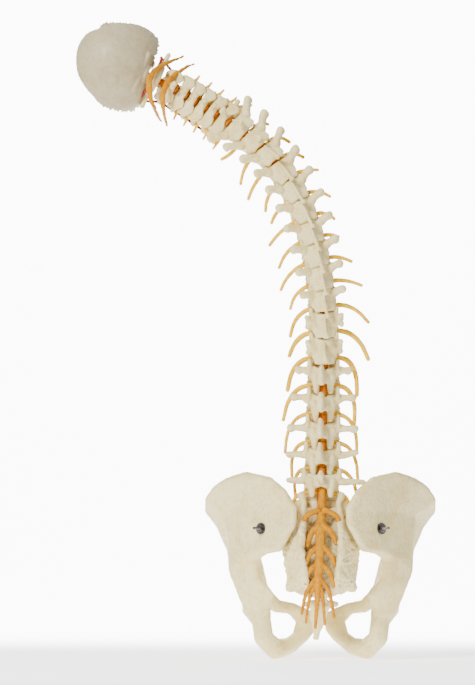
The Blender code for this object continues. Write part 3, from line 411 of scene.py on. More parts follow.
def bake(obj):
    """Replaces the mesh with what its modifiers make of it."""
    graph = bpy.context.evaluated_depsgraph_get()
    mesh = bpy.data.meshes.new_from_object(obj.evaluated_get(graph))
    obj.modifiers.clear()
    old = obj.data
    obj.data = mesh
    bpy.data.meshes.remove(old)
    shade_smooth(mesh)


def reskin(obj, voxel):
    """Makes overlapping shells one skin of quads about voxel millimetres across."""
    remesh = obj.modifiers.new("fuse", "REMESH")
    remesh.mode = "VOXEL"
    remesh.voxel_size = voxel * MM
    bake(obj)


def fuse(obj, voxel, smooth, cutters=()):
    """Makes overlapping shells one skin, takes the cutters out of it, and rounds its edges."""
    reskin(obj, voxel)
    for bm in cutters:
        cutter = new_piece("cutter", bm)
        boolean = obj.modifiers.new("cut", "BOOLEAN")
        boolean.operation = "DIFFERENCE"
        boolean.solver = "EXACT"
        boolean.object = cutter
        bake(obj)
        bpy.data.objects.remove(cutter)
    if cutters:
        reskin(obj, voxel)
    soften = obj.modifiers.new("soften", "SMOOTH")
    soften.factor = 0.5
    soften.iterations = smooth
    bake(obj)


def read_vertices(obj, what):
    flat = np.empty(len(obj.data.vertices) * 3)
    obj.data.vertices.foreach_get(what, flat)
    return flat.reshape(-1, 3)


def points_of(obj):
    return read_vertices(obj, "co")


def normals_of(obj):
    return read_vertices(obj, "normal")


def set_points(obj, points):
    obj.data.vertices.foreach_set("co", points.astype(np.float32).ravel())
    obj.data.update()


def lattice(cells, seed):
    """A repeatable value from -1 to 1 for each lattice corner."""
    mixed = (cells[:, 0] * 73856093) ^ (cells[:, 1] * 19349663) ^ (cells[:, 2] * 83492791)
    mixed = (mixed ^ (seed * 2654435761)) & 0xFFFFFFFF
    mixed = ((mixed ^ (mixed >> 15)) * 2246822519) & 0xFFFFFFFF
    mixed = ((mixed ^ (mixed >> 13)) * 3266489917) & 0xFFFFFFFF
    return (mixed ^ (mixed >> 16)) / 2147483647.5 - 1.0


def noise(points, size, seed=0):
    """Smooth noise from -1 to 1, with bumps about size millimetres across."""
    scaled = points / (size * MM)
    corner = np.floor(scaled).astype(np.int64)
    part = scaled - corner
    part = part * part * (3 - 2 * part)
    total = np.zeros(len(points))
    for i in (0, 1):
        for j in (0, 1):
            for k in (0, 1):
                share = np.abs(1 - i - part[:, 0]) * np.abs(1 - j - part[:, 1])
                share = share * np.abs(1 - k - part[:, 2])
                total += share * lattice(corner + np.array((i, j, k)), seed)
    return total


def wrinkles(points, size, seed=0):
    """Noise with sharp creases, from 0 to 1."""
    bent = points + np.stack([noise(points, size * 2, seed + n) for n in (5, 6, 7)], 1) * size * MM
    return 1 - np.abs(noise(bent, size, seed))


def roughen(obj, depth, size, seed=0, where=None, creased=False):
    """Moves the skin in and out by up to depth millimetres. where is a weight per point."""
    points = points_of(obj)
    height = wrinkles(points, size, seed) - 0.6 if creased else noise(points, size, seed)
    if where is not None:
        height = height * where(points / MM)
    set_points(obj, points + normals_of(obj) * (height * depth * MM)[:, None])


def near(points, centre, radius):
    """1 at a centre, falling to 0 at the radius."""
    away = np.linalg.norm(points - np.array(centre), axis=1) / radius
    return np.clip(1 - away, 0, 1) ** 0.7


def spline(points, steps):
    """A smooth run through points of any number of values, with steps samples to each stretch."""
    rows = np.array(points, float)
    rows = np.vstack([2 * rows[0] - rows[1], rows, 2 * rows[-1] - rows[-2]])
    made = []
    for i in range(1, len(rows) - 2):
        a, b, c, d = rows[i - 1:i + 3]
        for s in range(steps):
            t = s / steps
            made.append(0.5 * (2 * b + (c - a) * t + (2 * a - 5 * b + 4 * c - d) * t * t
                               + (3 * b - a - 3 * c + d) * t ** 3))
    made.append(rows[-2])
    return np.array(made)


def tube_rings(path, sides=16, squeeze=None, across=(0, 1, 0)):
    """Rings of points round a path of (x, y, z, radius). squeeze, if given, is the share of the
    radius kept along the direction across, so that the tube is a ribbon."""
    centres = path[:, :3]
    ahead = np.gradient(centres, axis=0)
    ahead /= np.linalg.norm(ahead, axis=1)[:, None]
    side = np.array(across, float)
    rings = []
    for i in range(len(path)):
        first = side - ahead[i] * (side @ ahead[i])
        first /= np.linalg.norm(first)
        side = first if squeeze is None else np.array(across, float)
        second = np.cross(ahead[i], first)
        radius = path[i, 3]
        keep = 1.0 if squeeze is None else squeeze
        ring = []
        for k in range(sides):
            angle = 2 * math.pi * k / sides
            point = (centres[i] + first * radius * keep * math.cos(angle)
                     + second * radius * math.sin(angle))
            ring.append(Vector(point))
        rings.append(ring)
    return rings


def body_of(node):
    return NODES[node]["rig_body"]


# --- materials ---------------------------------------------------------------------------------
class Shader:
    """A small helper that adds linked nodes to a material."""

    def __init__(self, name):
        self.material = bpy.data.materials.new(name)
        self.material.use_nodes = True
        self.tree = self.material.node_tree
        self.shader = self.tree.nodes["Principled BSDF"]
        self.place = self.add("ShaderNodeTexCoord").outputs["Object"]

    def add(self, kind, **settings):
        node = self.tree.nodes.new(kind)
        for key, value in settings.items():
            setattr(node, key, value)
        return node

    def link(self, source, target):
        self.tree.links.new(source, target)

    def noise(self, size, detail=3.0, roughness=0.55, distortion=0.0):
        """Noise whose features are about size millimetres across."""
        node = self.add("ShaderNodeTexNoise")
        node.inputs["Scale"].default_value = 1.0 / (size * MM)
        node.inputs["Detail"].default_value = detail
        node.inputs["Roughness"].default_value = roughness
        node.inputs["Distortion"].default_value = distortion
        self.link(self.place, node.inputs["Vector"])
        return node.outputs["Fac"]

    def pits(self, size):
        """The distance to the nearest of points scattered size millimetres apart."""
        node = self.add("ShaderNodeTexVoronoi")
        node.inputs["Scale"].default_value = 1.0 / (size * MM)
        self.link(self.place, node.inputs["Vector"])
        return node.outputs["Distance"]

    def ramp(self, value, low, high, start=0.0, end=1.0):
        node = self.add("ShaderNodeMapRange", interpolation_type="SMOOTHSTEP")
        for key, number in (("From Min", low), ("From Max", high), ("To Min", start),
                            ("To Max", end)):
            node.inputs[key].default_value = number
        self.link(value, node.inputs["Value"])
        return node.outputs["Result"]

    def math(self, operation, a, b):
        node = self.add("ShaderNodeMath", operation=operation)
        for socket, value in zip(node.inputs, (a, b)):
            if isinstance(value, (int, float)):
                socket.default_value = value
            else:
                self.link(value, socket)
        return node.outputs["Value"]

    def mix(self, share, a, b):
        """Colour a, or b where share is 1."""
        node = self.add("ShaderNodeMix", data_type="RGBA")
        sockets = {s.name: s for s in node.inputs if s.type == "RGBA"}
        for socket, value in ((sockets["A"], a), (sockets["B"], b)):
            if isinstance(value, tuple):
                socket.default_value = (*value, 1.0)
            else:
                self.link(value, socket)
        self.link(share, node.inputs[0])
        return next(s for s in node.outputs if s.type == "RGBA")

    def hollow(self):
        """0 in hollows, 0.5 on flats and 1 on edges."""
        return self.add("ShaderNodeNewGeometry").outputs["Pointiness"]

    def finish(self, colour, roughness, height, depth):
        """Links the colour, roughness and bump. depth is the bump's height in millimetres."""
        self.link(colour, self.shader.inputs["Base Color"])
        if isinstance(roughness, float):
            self.shader.inputs["Roughness"].default_value = roughness
        else:
            self.link(roughness, self.shader.inputs["Roughness"])
        bump = self.add("ShaderNodeBump")
        bump.inputs["Strength"].default_value = 1.0
        bump.inputs["Distance"].default_value = depth * MM
        self.link(height, bump.inputs["Height"])
        self.link(bump.outputs["Normal"], self.shader.inputs["Normal"])
        return self.material


def bone_material(name, light, warm, dark, rough):
    """Cast ivory plastic: warm patches, painted shade in hollows, a painted edge highlight, small pits, fine
    grain.
    """
    s = Shader(name)
    patches = s.ramp(s.noise(26, 3.0, 0.6, 0.6), 0.46, 0.66)
    mottle = s.ramp(s.noise(5, 4.0, 0.65), 0.42, 0.68)
    colour = s.mix(s.math("MULTIPLY", patches, 0.75), light, warm)
    colour = s.mix(s.math("MULTIPLY", mottle, 0.22), colour, dark)
    # Painted shade: the hollows are darkened towards the dark colour.
    hollows = s.ramp(s.hollow(), 0.505, 0.44)
    colour = s.mix(s.math("MULTIPLY", hollows, 0.62), colour, dark)
    # Painted highlight: the edges are lightened towards a pale yellow.
    edges = s.ramp(s.hollow(), 0.53, 0.60)
    colour = s.mix(s.math("MULTIPLY", edges, 0.35), colour, (0.86, 0.77, 0.45))
    thin = s.ramp(s.noise(14, 2.0), 0.50, 0.62)
    pit = s.math("MULTIPLY", s.ramp(s.pits(4.2), 0.17, 0.08), thin)
    colour = s.mix(s.math("MULTIPLY", pit, 0.75), colour, (0.20, 0.15, 0.09))
    grain = s.noise(0.9, 4.0, 0.6)
    coarse = s.noise(3.4, 4.0, 0.6)
    height = s.math("ADD", s.math("MULTIPLY", grain, 0.35 * rough),
                    s.math("MULTIPLY", coarse, 0.9 * rough))
    height = s.math("SUBTRACT", height, s.math("MULTIPLY", pit, 0.9))
    gloss = s.ramp(s.noise(7, 3.0), 0.35, 0.7, 0.42, 0.58)
    made = s.finish(colour, gloss, height, 0.55)
    s.shader.inputs["Subsurface Weight"].default_value = 0.10
    s.shader.inputs["Subsurface Radius"].default_value = (0.9, 0.6, 0.35)
    s.shader.inputs["Subsurface Scale"].default_value = 0.003
    s.shader.inputs["Specular IOR Level"].default_value = 0.42
    return made


def nerve_material(name, light, dark, streak=True):
    """Soft painted rubber: streaks of deeper colour, with painted shade darkening the folds."""
    s = Shader(name)
    patches = s.ramp(s.noise(6, 4.0, 0.6, 0.8), 0.38, 0.68)
    colour = s.mix(patches, light, dark)
    # Painted shade: the folds are darkened.
    hollows = s.ramp(s.hollow(), 0.505, 0.43)
    colour = s.mix(s.math("MULTIPLY", hollows, 0.7), colour, tuple(c * 0.45 for c in dark))
    fine = s.noise(1.1, 4.0, 0.6, 0.4)
    height = s.math("ADD", s.math("MULTIPLY", fine, 0.35),
                    s.math("MULTIPLY", s.noise(3.2, 3.0), 0.8 if streak else 0.3))
    gloss = s.ramp(s.noise(4, 2.0), 0.35, 0.7, 0.4, 0.55)
    made = s.finish(colour, gloss, height, 0.35)
    s.shader.inputs["Subsurface Weight"].default_value = 0.12
    s.shader.inputs["Subsurface Radius"].default_value = (1.0, 0.45, 0.12)
    s.shader.inputs["Subsurface Scale"].default_value = 0.002
    s.shader.inputs["Specular IOR Level"].default_value = 0.22
    s.shader.inputs["Specular Tint"].default_value = (1.0, 0.62, 0.2, 1.0)
    return made


def disc_material():
    """Pale rubber in patches, with painted shade darkening its hollows. The faint rings round the disc's rim
    come from its shape.
    """
    s = Shader("disc_rubber")
    patches = s.ramp(s.noise(7, 3.0, 0.6), 0.4, 0.66)
    colour = s.mix(patches, (0.74, 0.63, 0.34), (0.58, 0.44, 0.20))
    # Painted shade: the hollows are darkened.
    hollows = s.ramp(s.hollow(), 0.505, 0.44)
    colour = s.mix(s.math("MULTIPLY", hollows, 0.6), colour, (0.34, 0.24, 0.13))
    height = s.math("ADD", s.math("MULTIPLY", s.noise(0.8, 3.0), 0.4), s.noise(2.6, 3.0))
    return s.finish(colour, s.ramp(s.noise(3, 2.0), 0.3, 0.7, 0.4, 0.55), height, 0.3)


def steel_material():
    """Zinc-plated steel: bright, scuffed, with painted shade darkening the corners."""
    s = Shader("plated_steel")
    scuffs = s.ramp(s.noise(0.9, 4.0, 0.7), 0.4, 0.65)
    colour = s.mix(scuffs, (0.20, 0.175, 0.155), (0.08, 0.07, 0.06))
    # Painted shade: the corners are darkened.
    corner_shade = s.ramp(s.hollow(), 0.50, 0.43)
    colour = s.mix(s.math("MULTIPLY", corner_shade, 0.8), colour, (0.05, 0.04, 0.04))
    made = s.finish(colour, s.ramp(s.noise(1.4, 3.0), 0.3, 0.7, 0.22, 0.42),
                    s.noise(0.5, 3.0), 0.05)
    s.shader.inputs["Metallic"].default_value = 1.0
    return made


BONE = bone_material("cast_bone", (0.80, 0.68, 0.33), (0.74, 0.56, 0.22), (0.40, 0.27, 0.10), 1.0)
# The skull plate is the same cast bone, given darker colours as painted shade.
SHADED_SKULL = bone_material("cast_skull", (0.42, 0.355, 0.205), (0.38, 0.295, 0.155), (0.21, 0.15, 0.08), 0.5)
NERVE = nerve_material("nerve_rubber", (0.52, 0.225, 0.001), (0.40, 0.135, 0.001))
FINE_NERVE = nerve_material("fine_nerve_rubber", (0.82, 0.50, 0.002), (0.66, 0.34, 0.002), False)
CORD = nerve_material("cord_rubber", (0.56, 0.185, 0.003), (0.40, 0.085, 0.002))
ARTERY = nerve_material("artery_rubber", (0.30, 0.035, 0.02), (0.18, 0.015, 0.012))
DISC = disc_material()
STEEL = steel_material()


def dress(obj, material, body, *stands_for):
    """Gives a piece its material and the body it rides on."""
    obj.data.materials.clear()
    obj.data.materials.append(material)
    if body:
        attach(obj, body)
    if stands_for:
        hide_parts(*stands_for)
    return obj


# --- vertebrae ---------------------------------------------------------------------------------
TIP_LIFT = {"t1": 9, "t2": 9, "t3": 7, "t4": 5.5, "t5": 4.5, "t6": 3.5, "t7": 3, "t8": 2.5,
            "t9": 2, "t10": 2}  # how much higher the tips of the side processes sit


def add_drum(bm, level):
    """The drum that carries the load, with raised rims."""
    half_width, half_depth, top = level.width / 2, level.depth / 2, level.top
    shape = [(-top, 0.93), (-top + 0.6, 0.99), (-top + 2.2, 0.99), (-top + 4.5, 0.92),
             (0, 0.87), (top - 4.5, 0.91), (top - 2.2, 0.97), (top - 0.6, 0.97), (top, 0.92)]
    append(bm, loft([oval(half_width * k, half_depth * k, z, 40, 0.12) for z, k in shape]))


def lumbar(level):
    bm = bmesh.new()
    add_drum(bm, level)
    side, joint, behind, top = level.pillar, level.joint_y, level.lamina_y, level.top
    add_pair(bm, [(level.width * 0.34, level.back + 3, top * 0.35, 5.0),
                  (side, joint + 2, top * 0.3, 5.0)])
    add_pair(bm, [(side, joint, top * 0.4, 3.4), (side * 0.8, joint - 3.5, -0.75 * top, 3.4),
                  (0, behind + 1, top * 0.12, 2.8), (0, behind - 1, -0.55 * top, 3.0)])
    add_pair(bm, [(side * 0.74, joint - 4.5, -2, 4.2), (side * 0.64, joint - 5.2, -top - 3.0, 3.9)])
    add_pair(bm, [(side * 0.62, joint - 5.5, -top, 4.0), (side * 0.62, joint - 4.8, -top - 7.0, 3.3)])
    add_pair(bm, [(side + 2.4, joint + 1.5, top * 0.1, 4.0), (side + 3.2, joint + 0.6, top + 1.0, 2.8)])
    add_pair(bm, [(side + 3.4, joint - 3.2, top * 0.3, 3.4), (side + 3.6, joint - 2.0, top + 0.4, 2.5)])
    tip = behind - level.spine_back
    high, off = (0.35, -1.0) if level.name == "l5" else (0.8, -3.0)
    add_hull(bm, [(off * 0.5, behind, high * top * 0.8, 2.4), (off, tip + 5, high * top, 2.3),
                  (off, tip + 3.5, 0, 4.0), (off * 0.5, tip + 5, -0.5 * top, 3.4),
                  (0, behind, -0.45 * top, 3.2)])
    add_hull(bm, [(off + 0.3, tip + 3, high * top * 0.6, 2.6), (off - 0.4, tip + 2, -0.1 * top, 3.7),
                  (off + 0.6, tip + 3.2, -0.5 * top, 3.4)])
    lift = {"l1": 0.25, "l2": 0.3, "l3": 0.08, "l4": 0.1, "l5": -0.1}[level.name]
    end = {"l4": 3.6, "l5": 2.8}.get(level.name, 4.7)
    for flip in (1, -1):
        out = level.half_span + (5 * flip if level.name == "l5" else 0)
        tilt = {"l4": 2.0 + 2.0 * flip, "l5": 1.5}.get(level.name, 0.0)
        wing = [[(side, joint + 3, top * 0.25, 5.4), (side + 4, joint + 1, top * 0.05, 5.0),
                 (side + 10, joint + 1, top * lift, 4.1)],
                [(side + 5, joint + 1, top * lift * 0.8, 4.4),
                 (out - 7, joint + 1, top * lift + tilt * 0.7, 3.8)],
                [(out - 10, joint + 1, top * lift + tilt * 0.6, 3.8),
                 (out - end, joint + 1, top * lift + tilt, end),
                 (out - end - 1, joint + 1, top * lift + tilt - 1.0, end)]]
        for balls in wing:
            add_hull(bm, [(flip * x, y, z, r) for x, y, z, r in balls])
    return bm


def thoracic(level):
    bm = bmesh.new()
    add_drum(bm, level)
    side, joint, behind, top = level.pillar, level.joint_y, level.lamina_y, level.top
    add_pair(bm, [(level.width * 0.34, level.back + 3, top * 0.35, 3.8),
                  (side, joint + 2, top * 0.3, 3.8)])
    shingled = level.name in ("t4", "t5", "t6", "t7", "t8", "t9")
    low = -(1.85 if shingled else 1.5) * top
    add_pair(bm, [(side, joint + 0.5, top * 0.7, 3.0), (side * 0.95, joint - 2.5, -top, 3.0),
                  (1, behind + 1.5, top * 0.55, 2.6), (0, behind - 2.0, -top, 3.0)])
    add_pair(bm, [(side * 0.95, joint - 2.5, -0.7 * top, 2.9), (side * 0.78, joint - 6.0, low, 2.2),
                  (0, behind - 1.5, -0.7 * top, 2.6), (1.5, behind - 4.0, low + 0.5, 2.0)])
    rise = 0.5 if level.name == "t1" else 3.0
    add_pair(bm, [(side, joint + 1.5, top * 0.3, 2.6), (side, joint + 2.4, top + rise, 2.4)])
    tip = behind - level.spine_back
    tall = level.spine_tall / 2
    drop = -level.spine_drop
    add_hull(bm, [(5.5, behind + 1.5, -1, 2.2), (-5.5, behind + 1.5, -1, 2.2),
                  (4.5, behind - 2, -1.5 * top, 1.8), (-4.5, behind - 2, -1.5 * top, 1.8),
                  (0, behind - 6, 0.1 * top, 1.0), (0, (behind + tip) / 2 - 2, drop * 0.6, 1.2)])
    add_hull(bm, [(0, behind - 7, top * 0.55, 0.9), (0, tip, drop + tall, 1.0),
                  (0, tip + 1, drop - tall, 2.0), (0, behind, -top, 2.0), (0, behind, top * 0.3, 1.6)])
    wide = 1.0 if level.kind == "thoracic" else 2.0
    add_hull(bm, [(0, tip + 2, drop + tall, 1.5), (wide, tip + 1.4, drop - tall, 2.4),
                  (-wide, tip + 1.4, drop - tall, 2.4), (0, tip + 6, drop - tall + 1, 2.2)])
    lift = TIP_LIFT.get(level.name, 0)
    if level.kind == "thoracic":
        out, back = level.half_span - 4.8, joint - 8
        add_pair(bm, [(side - 1, joint, top * 0.3, 5.0), (side + 2, joint - 2.4, top * 0.2, 5.4),
                      (side + 5, joint - 3.5, top * 0.3 + lift * 0.4, 4.8)])
        add_pair(bm, [(side + 2, joint - 2.5, top * 0.25 + lift * 0.15, 5.2),
                      (out - 3, back + 1.2, top * 0.3 + lift * 0.8, 4.5)])
        add_pair(bm, [(out - 5, back + 1.6, top * 0.3 + lift * 0.75, 4.6),
                      (out, back, top * 0.3 + lift + 0.6, 4.9),
                      (out + 0.3, back + 2.4, top * 0.3 + lift - 0.8, 4.6)])
    else:
        out, back = level.half_span - 3.8, joint - 5
        add_pair(bm, [(side, joint, top * 0.3, 5.2), (side * 0.9, joint - 2, -top * 0.4, 5.0),
                      (out - 2, back, top * 0.1, 4.6)])
        add_pair(bm, [(out - 3, back, 0, 3.8), (out, back - 1, top * 0.5, 3.4)])
        add_pair(bm, [(out - 3, back, 0, 3.8), (out - 0.5, back + 1, -top * 0.5, 3.4)])
        add_pair(bm, [(side + 1, joint, 2, 4.2), (side + 2.5, joint - 3, top + 2.5, 2.8)])
        add_pair(bm, [(side * 0.7, joint - 5, -top, 3.6), (side * 0.66, joint - 5, -top - 5, 3.4)])
    return bm


def cervical(level):
    bm = bmesh.new()
    add_drum(bm, level)
    side, joint, top = level.pillar, level.joint_y, level.top
    behind = level.lamina_y
    add_pair(bm, [(level.width * 0.34, level.back + 4, 0, 3.2), (side, joint + 6, 0, 3.4)])
    rise = 0 if level.kind == "axis" else top - 1.4
    add_pair(bm, [(side, joint + 3.5, rise, 3.8), (side, joint + 1.5, -top + 3, 3.8)])
    add_pair(bm, [(side, joint + 1, 2.5, 2.6), (side * 0.97, joint - 2, -1.0 * top, 2.4),
                  (1, behind + 1, 0.2 * top, 2.3), (1, behind - 2, -0.65 * top, 2.3)])
    add_pair(bm, [(side * 0.97, joint - 1.5, -0.6 * top, 2.4), (side * 0.8, joint - 4, -top - 3, 1.8),
                  (side * 0.45, behind + 0.5, -0.7 * top, 2.2), (side * 0.5, behind - 0.5, -top - 1.5, 1.7)])
    tip = behind - level.spine_back
    drop = -level.spine_drop
    add_hull(bm, [(0, behind, 1.0, 2.4), (0, behind, -0.7 * top, 2.4), (0, tip + 2, drop, 2.8),
                  (0, tip + 2, drop - 1.5, 2.6)])
    if level.name != "c7":
        add_pair(bm, [(0, tip + 5, drop + 0.5, 2.4), (3.4, tip, drop - 0.3, 2.4),
                      (3.0, tip, drop - 1.8, 2.2)])
    else:
        add_hull(bm, [(2.2, tip + 1, drop, 2.8), (-2.2, tip + 1, drop, 2.8), (0, tip + 7, drop, 2.4)])
    if level.kind != "axis":
        add_pair(bm, [(level.width * 0.42, -2, top - 1, 1.6), (level.width * 0.42, 2, top + 1.2, 1.2),
                      (level.width * 0.36, -4, top - 1, 1.6)])
    add_pair(bm, [(level.width * 0.4, -1, 0, 2.6), (level.half_span - 4, 0, -1.5, 2.6)])
    add_pair(bm, [(side, joint + 6, 0, 2.8), (level.half_span - 3, -6, -1.5, 2.8)])
    add_pair(bm, [(level.half_span - 4, 0, -1.5, 2.4), (level.half_span - 4, -6, -2, 2.2)])
    if level.name == "c7":
        add_pair(bm, [(side, joint + 5, 1, 3.4), (level.half_span - 3.6, joint + 3, 2, 3.4)])
    return bm


def axis_bone(level):
    """C2, with the peg that the atlas turns on."""
    bm = cervical(level)
    top = level.top
    add_hull(bm, [(0, 1, top - 3, 5.0), (0, 1, top + 2, 4.6), (0, 1, ATLAS_RISE + 5, 4.2)])
    add_pair(bm, [(10, 0, top - 6, 4.5), (15, -2, top - 4.5, 4.5)])
    side = level.pillar + 1
    add_pair(bm, [(side, level.joint_y + 3, -2, 3.8), (side - 3, level.joint_y + 2, 4, 3.2)])
    return bm


def atlas():
    """C1, a ring round the peg of C2. Its frame's Z runs up the peg."""
    bm = bmesh.new()
    add_pair(bm, [(16, 0, -1.8, 4.2), (16, 3, 0.5, 4.2), (17, -6, 0, 4.2)])
    add_tube(bm, [(-15, 4, 0, 3.4), (-8, 11, 0, 3.2), (8, 11, 0, 3.2), (15, 4, 0, 3.4)])
    add_hull(bm, [(-2, 13, 0, 2.8), (2, 13, 0, 2.8), (0, 13.5, 1, 2.6)])
    rear = [(17, -7, 0, 3.6), (15, -17, 0, 3.8), (8, -24, 0, 4.2), (0, -26.5, 0, 4.5)]
    add_tube(bm, rear + [(-x, y, z, r) for x, y, z, r in reversed(rear[:3])])
    add_pair(bm, [(17, 3, -0.5, 2.8), (33, -1, -1, 2.6)])
    add_pair(bm, [(18, -5, -0.5, 2.8), (33, -5, -1, 2.8)])
    add_pair(bm, [(33, -1, -1, 2.7), (34, -5, -1, 3.2)])
    return bm


def build_vertebrae():
    makers = {"lumbar": lumbar, "lower": thoracic, "thoracic": thoracic, "cervical": cervical,
              "axis": axis_bone}
    for number, level in enumerate(LEVELS):
        node = f"vertebra_{level.name}"
        bone = new_piece(f"bone_{level.name}", makers[level.kind](level), level.frame)
        fuse(bone, 0.75, 5)
        roughen(bone, 0.45, 6, number)
        roughen(bone, 0.22, 2.2, number + 40)
        dress(bone, BONE, body_of(node), node)
    bone = new_piece("bone_c1", atlas(), ATLAS_FRAME)
    fuse(bone, 0.75, 5)
    roughen(bone, 0.4, 6, 30)
    roughen(bone, 0.2, 2.2, 70)
    dress(bone, BONE, body_of("vertebra_c1"), "vertebra_c1")


# --- runs along the spine, cut into spans ------------------------------------------------------
def flexible_run(name, stations, material, sides=16, steps=8, stands_for=()):
    """A tube through stations (body, point, radius), cut into a span between each two. A span
    whose ends belong to two bodies is put on neither, and stays in the model's frame."""
    path = spline([(*point, radius) for _, point, radius in stations], steps)
    for i, (first, second) in enumerate(zip(stations, stations[1:])):
        part = path[max(0, i * steps - 1):(i + 1) * steps + 2]
        rings = tube_rings(part, sides)
        rings = rings[(1 if i else 0):]
        if i + 1 < len(stations) - 1:
            rings = rings[:-1]
        span = new_piece(f"{name}_{i + 1:02d}", loft(rings))
        if first[0] == second[0]:
            dress(span, material, first[0])
        else:
            dress(span, material, None)
            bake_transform(span)
        if i == 0 and stands_for:
            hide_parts(*stands_for)


def disc_names():
    names = ["s1"] + [level.name for level in LEVELS]
    return [(level, f"disc_{level.name}_{lower}", lower) for level, lower in zip(LEVELS, names)]


def build_cord():
    pelvis, head = body_of("sacrum"), body_of("occipital_plate")
    stations = [(pelvis, (0, -31, 17), 4.6), (pelvis, (0, -22.5, 30), CORD_RADIUS)]
    for level, disc, _ in disc_names():
        lump = 0.6 if level.kind in ("cervical", "axis") else 0.2
        point = level.gap_frame @ Vector((0, level.back - 7, 0))
        stations.append((body_of(disc), tuple(point), CORD_RADIUS + lump))
        point = level.frame @ Vector((0, level.back - 7, 0))
        stations.append((body_of(f"vertebra_{level.name}"), tuple(point), CORD_RADIUS - 0.1))
    point = ATLAS_FRAME @ Vector((0, -12.5, 0))
    stations.append((body_of("vertebra_c1"), tuple(point), CORD_RADIUS))
    for z, radius in ((9, CORD_RADIUS + 0.4), (18, CORD_RADIUS + 0.8)):
        stations.append((head, tuple(HEAD_FRAME @ Vector((0, -8, z))), radius))
    flexible_run("cord", stations, CORD, 18, 6, ("spinal_cord",))


def build_core():
    pelvis = body_of("sacrum")
    plate = Matrix.Translation(SACRAL_TOP) @ turn(0, SACRAL_PITCH)
    stations = [(pelvis, (0, 0, 4.5), ROD_RADIUS), (pelvis, (0, 0, 20), ROD_RADIUS),
                (pelvis, tuple(plate @ Vector((0, 0, -3))), ROD_RADIUS)]
    for level, disc, _ in disc_names():
        stations.append((body_of(disc), tuple(level.side_frame.translation), ROD_RADIUS))
        stations.append((body_of(f"vertebra_{level.name}"), tuple(level.straight.translation),
                         ROD_RADIUS))
    flexible_run("core", stations, STEEL, 12, 4, ("core_rod",))


def build_arteries():
    for side, word in ((1, "right"), (-1, "left")):
        r = ARTERY_RADIUS - 0.2
        stations = []
        for level, disc, _ in disc_names()[-5:]:
            if stations:
                middle = level.gap_frame @ Vector((side * (level.half_span - 5), 3.2, 0))
                stations.append((body_of(disc), tuple(middle), r))
            point = level.frame @ Vector((side * (level.half_span - 5), 3.2, -1))
            stations.append((body_of(f"vertebra_{level.name}"), tuple(point), r))
        for x, y, z in ((27, 6, 0), (28, 4, 4.4), (27, -6, 5.0), (20, -15, 4.7), (11, -19, 5.2)):
            point = ATLAS_FRAME @ Vector((side * x, y, z))
            stations.append((body_of("vertebra_c1"), tuple(point), r))
        flexible_run(f"artery_{word}", stations, ARTERY, 12, 6, (f"vertebral_artery_{word}",))


def build_discs():
    below_size = (SACRAL_WIDTH, SACRAL_DEPTH)
    owner = body_of("sacrum")
    for level, disc, _ in disc_names():
        inverse = level.side_frame.inverted()
        low = inverse @ level.plate_below @ slide_up(0.15)
        high = inverse @ level.straight @ slide_up(-level.top - 0.15)
        wide = [(below_size[0] / 2 * 0.95, below_size[1] / 2 * 0.95),
                (level.width / 2 * 0.95, level.depth / 2 * 0.95)]
        rings = {"low": [], "high": []}
        for half, share in [("low", s / 8) for s in range(9)] + [("high", s / 8) for s in range(9)]:
            t = share / 2 + (0.5 if half == "high" else 0.0)
            bulge = 1.0 + 0.055 * math.sin(math.pi * t) - 0.012 * math.cos(t * 8 * math.pi)
            size = [(wide[0][n] * (1 - t) + wide[1][n] * t) * bulge for n in (0, 1)]
            first = oval(*size, 0, 48, 0.12)
            rings[half].append([(low @ p) * (1 - t) + (high @ p) * t for p in first])
        for half, body in (("low", owner), ("high", body_of(f"vertebra_{level.name}"))):
            piece = new_piece(f"{disc}_{half}", loft(rings[half]), level.side_frame)
            dress(piece, DISC, None)
            ends = [level.plate_below.translation, level.side_frame.translation,
                    level.straight @ Vector((0, 0, -level.top))]
            ends = [tuple(p * MM) for p in ends]
            if half == "low":
                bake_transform(piece)
                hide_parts(disc)
            else:
                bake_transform(piece)
        owner = body_of(f"vertebra_{level.name}")
        below_size = (level.width, level.depth)


# --- nerves ------------------------------------------------------------------------------------
# Where each pair ends, across and up from the origin: the right one, then the left one.
NERVE_TIPS = {
    "t1": ((-62, 475), (-116, 434)),
    "t2": ((-37, 454), (-94, 405)), "t3": ((-21, 436), (-85, 387)),
    "t4": ((-4, 421), (-65, 373)), "t5": ((10, 390), (-58, 359)),
    "t6": ((15, 364), (-60, 333)), "t7": ((20, 343), (-49, 307)),
    "t8": ((35, 314), (-47, 281)), "t9": ((47, 286), (-36, 259)),
    "t10": ((55, 243), (-36, 227)), "t11": ((55, 200), (-37, 204)),
    "t12": ((42, 158), (-39, 164)), "l1": ((39, 124), (-44, 129)),
    "l2": ((42, 92), (-42, 91)), "l3": ((43, 61), (-34, 63)),
    "l4": ((42, 39), (-30, 40)), "l5": ((33, 14), (-33, 14)),
}


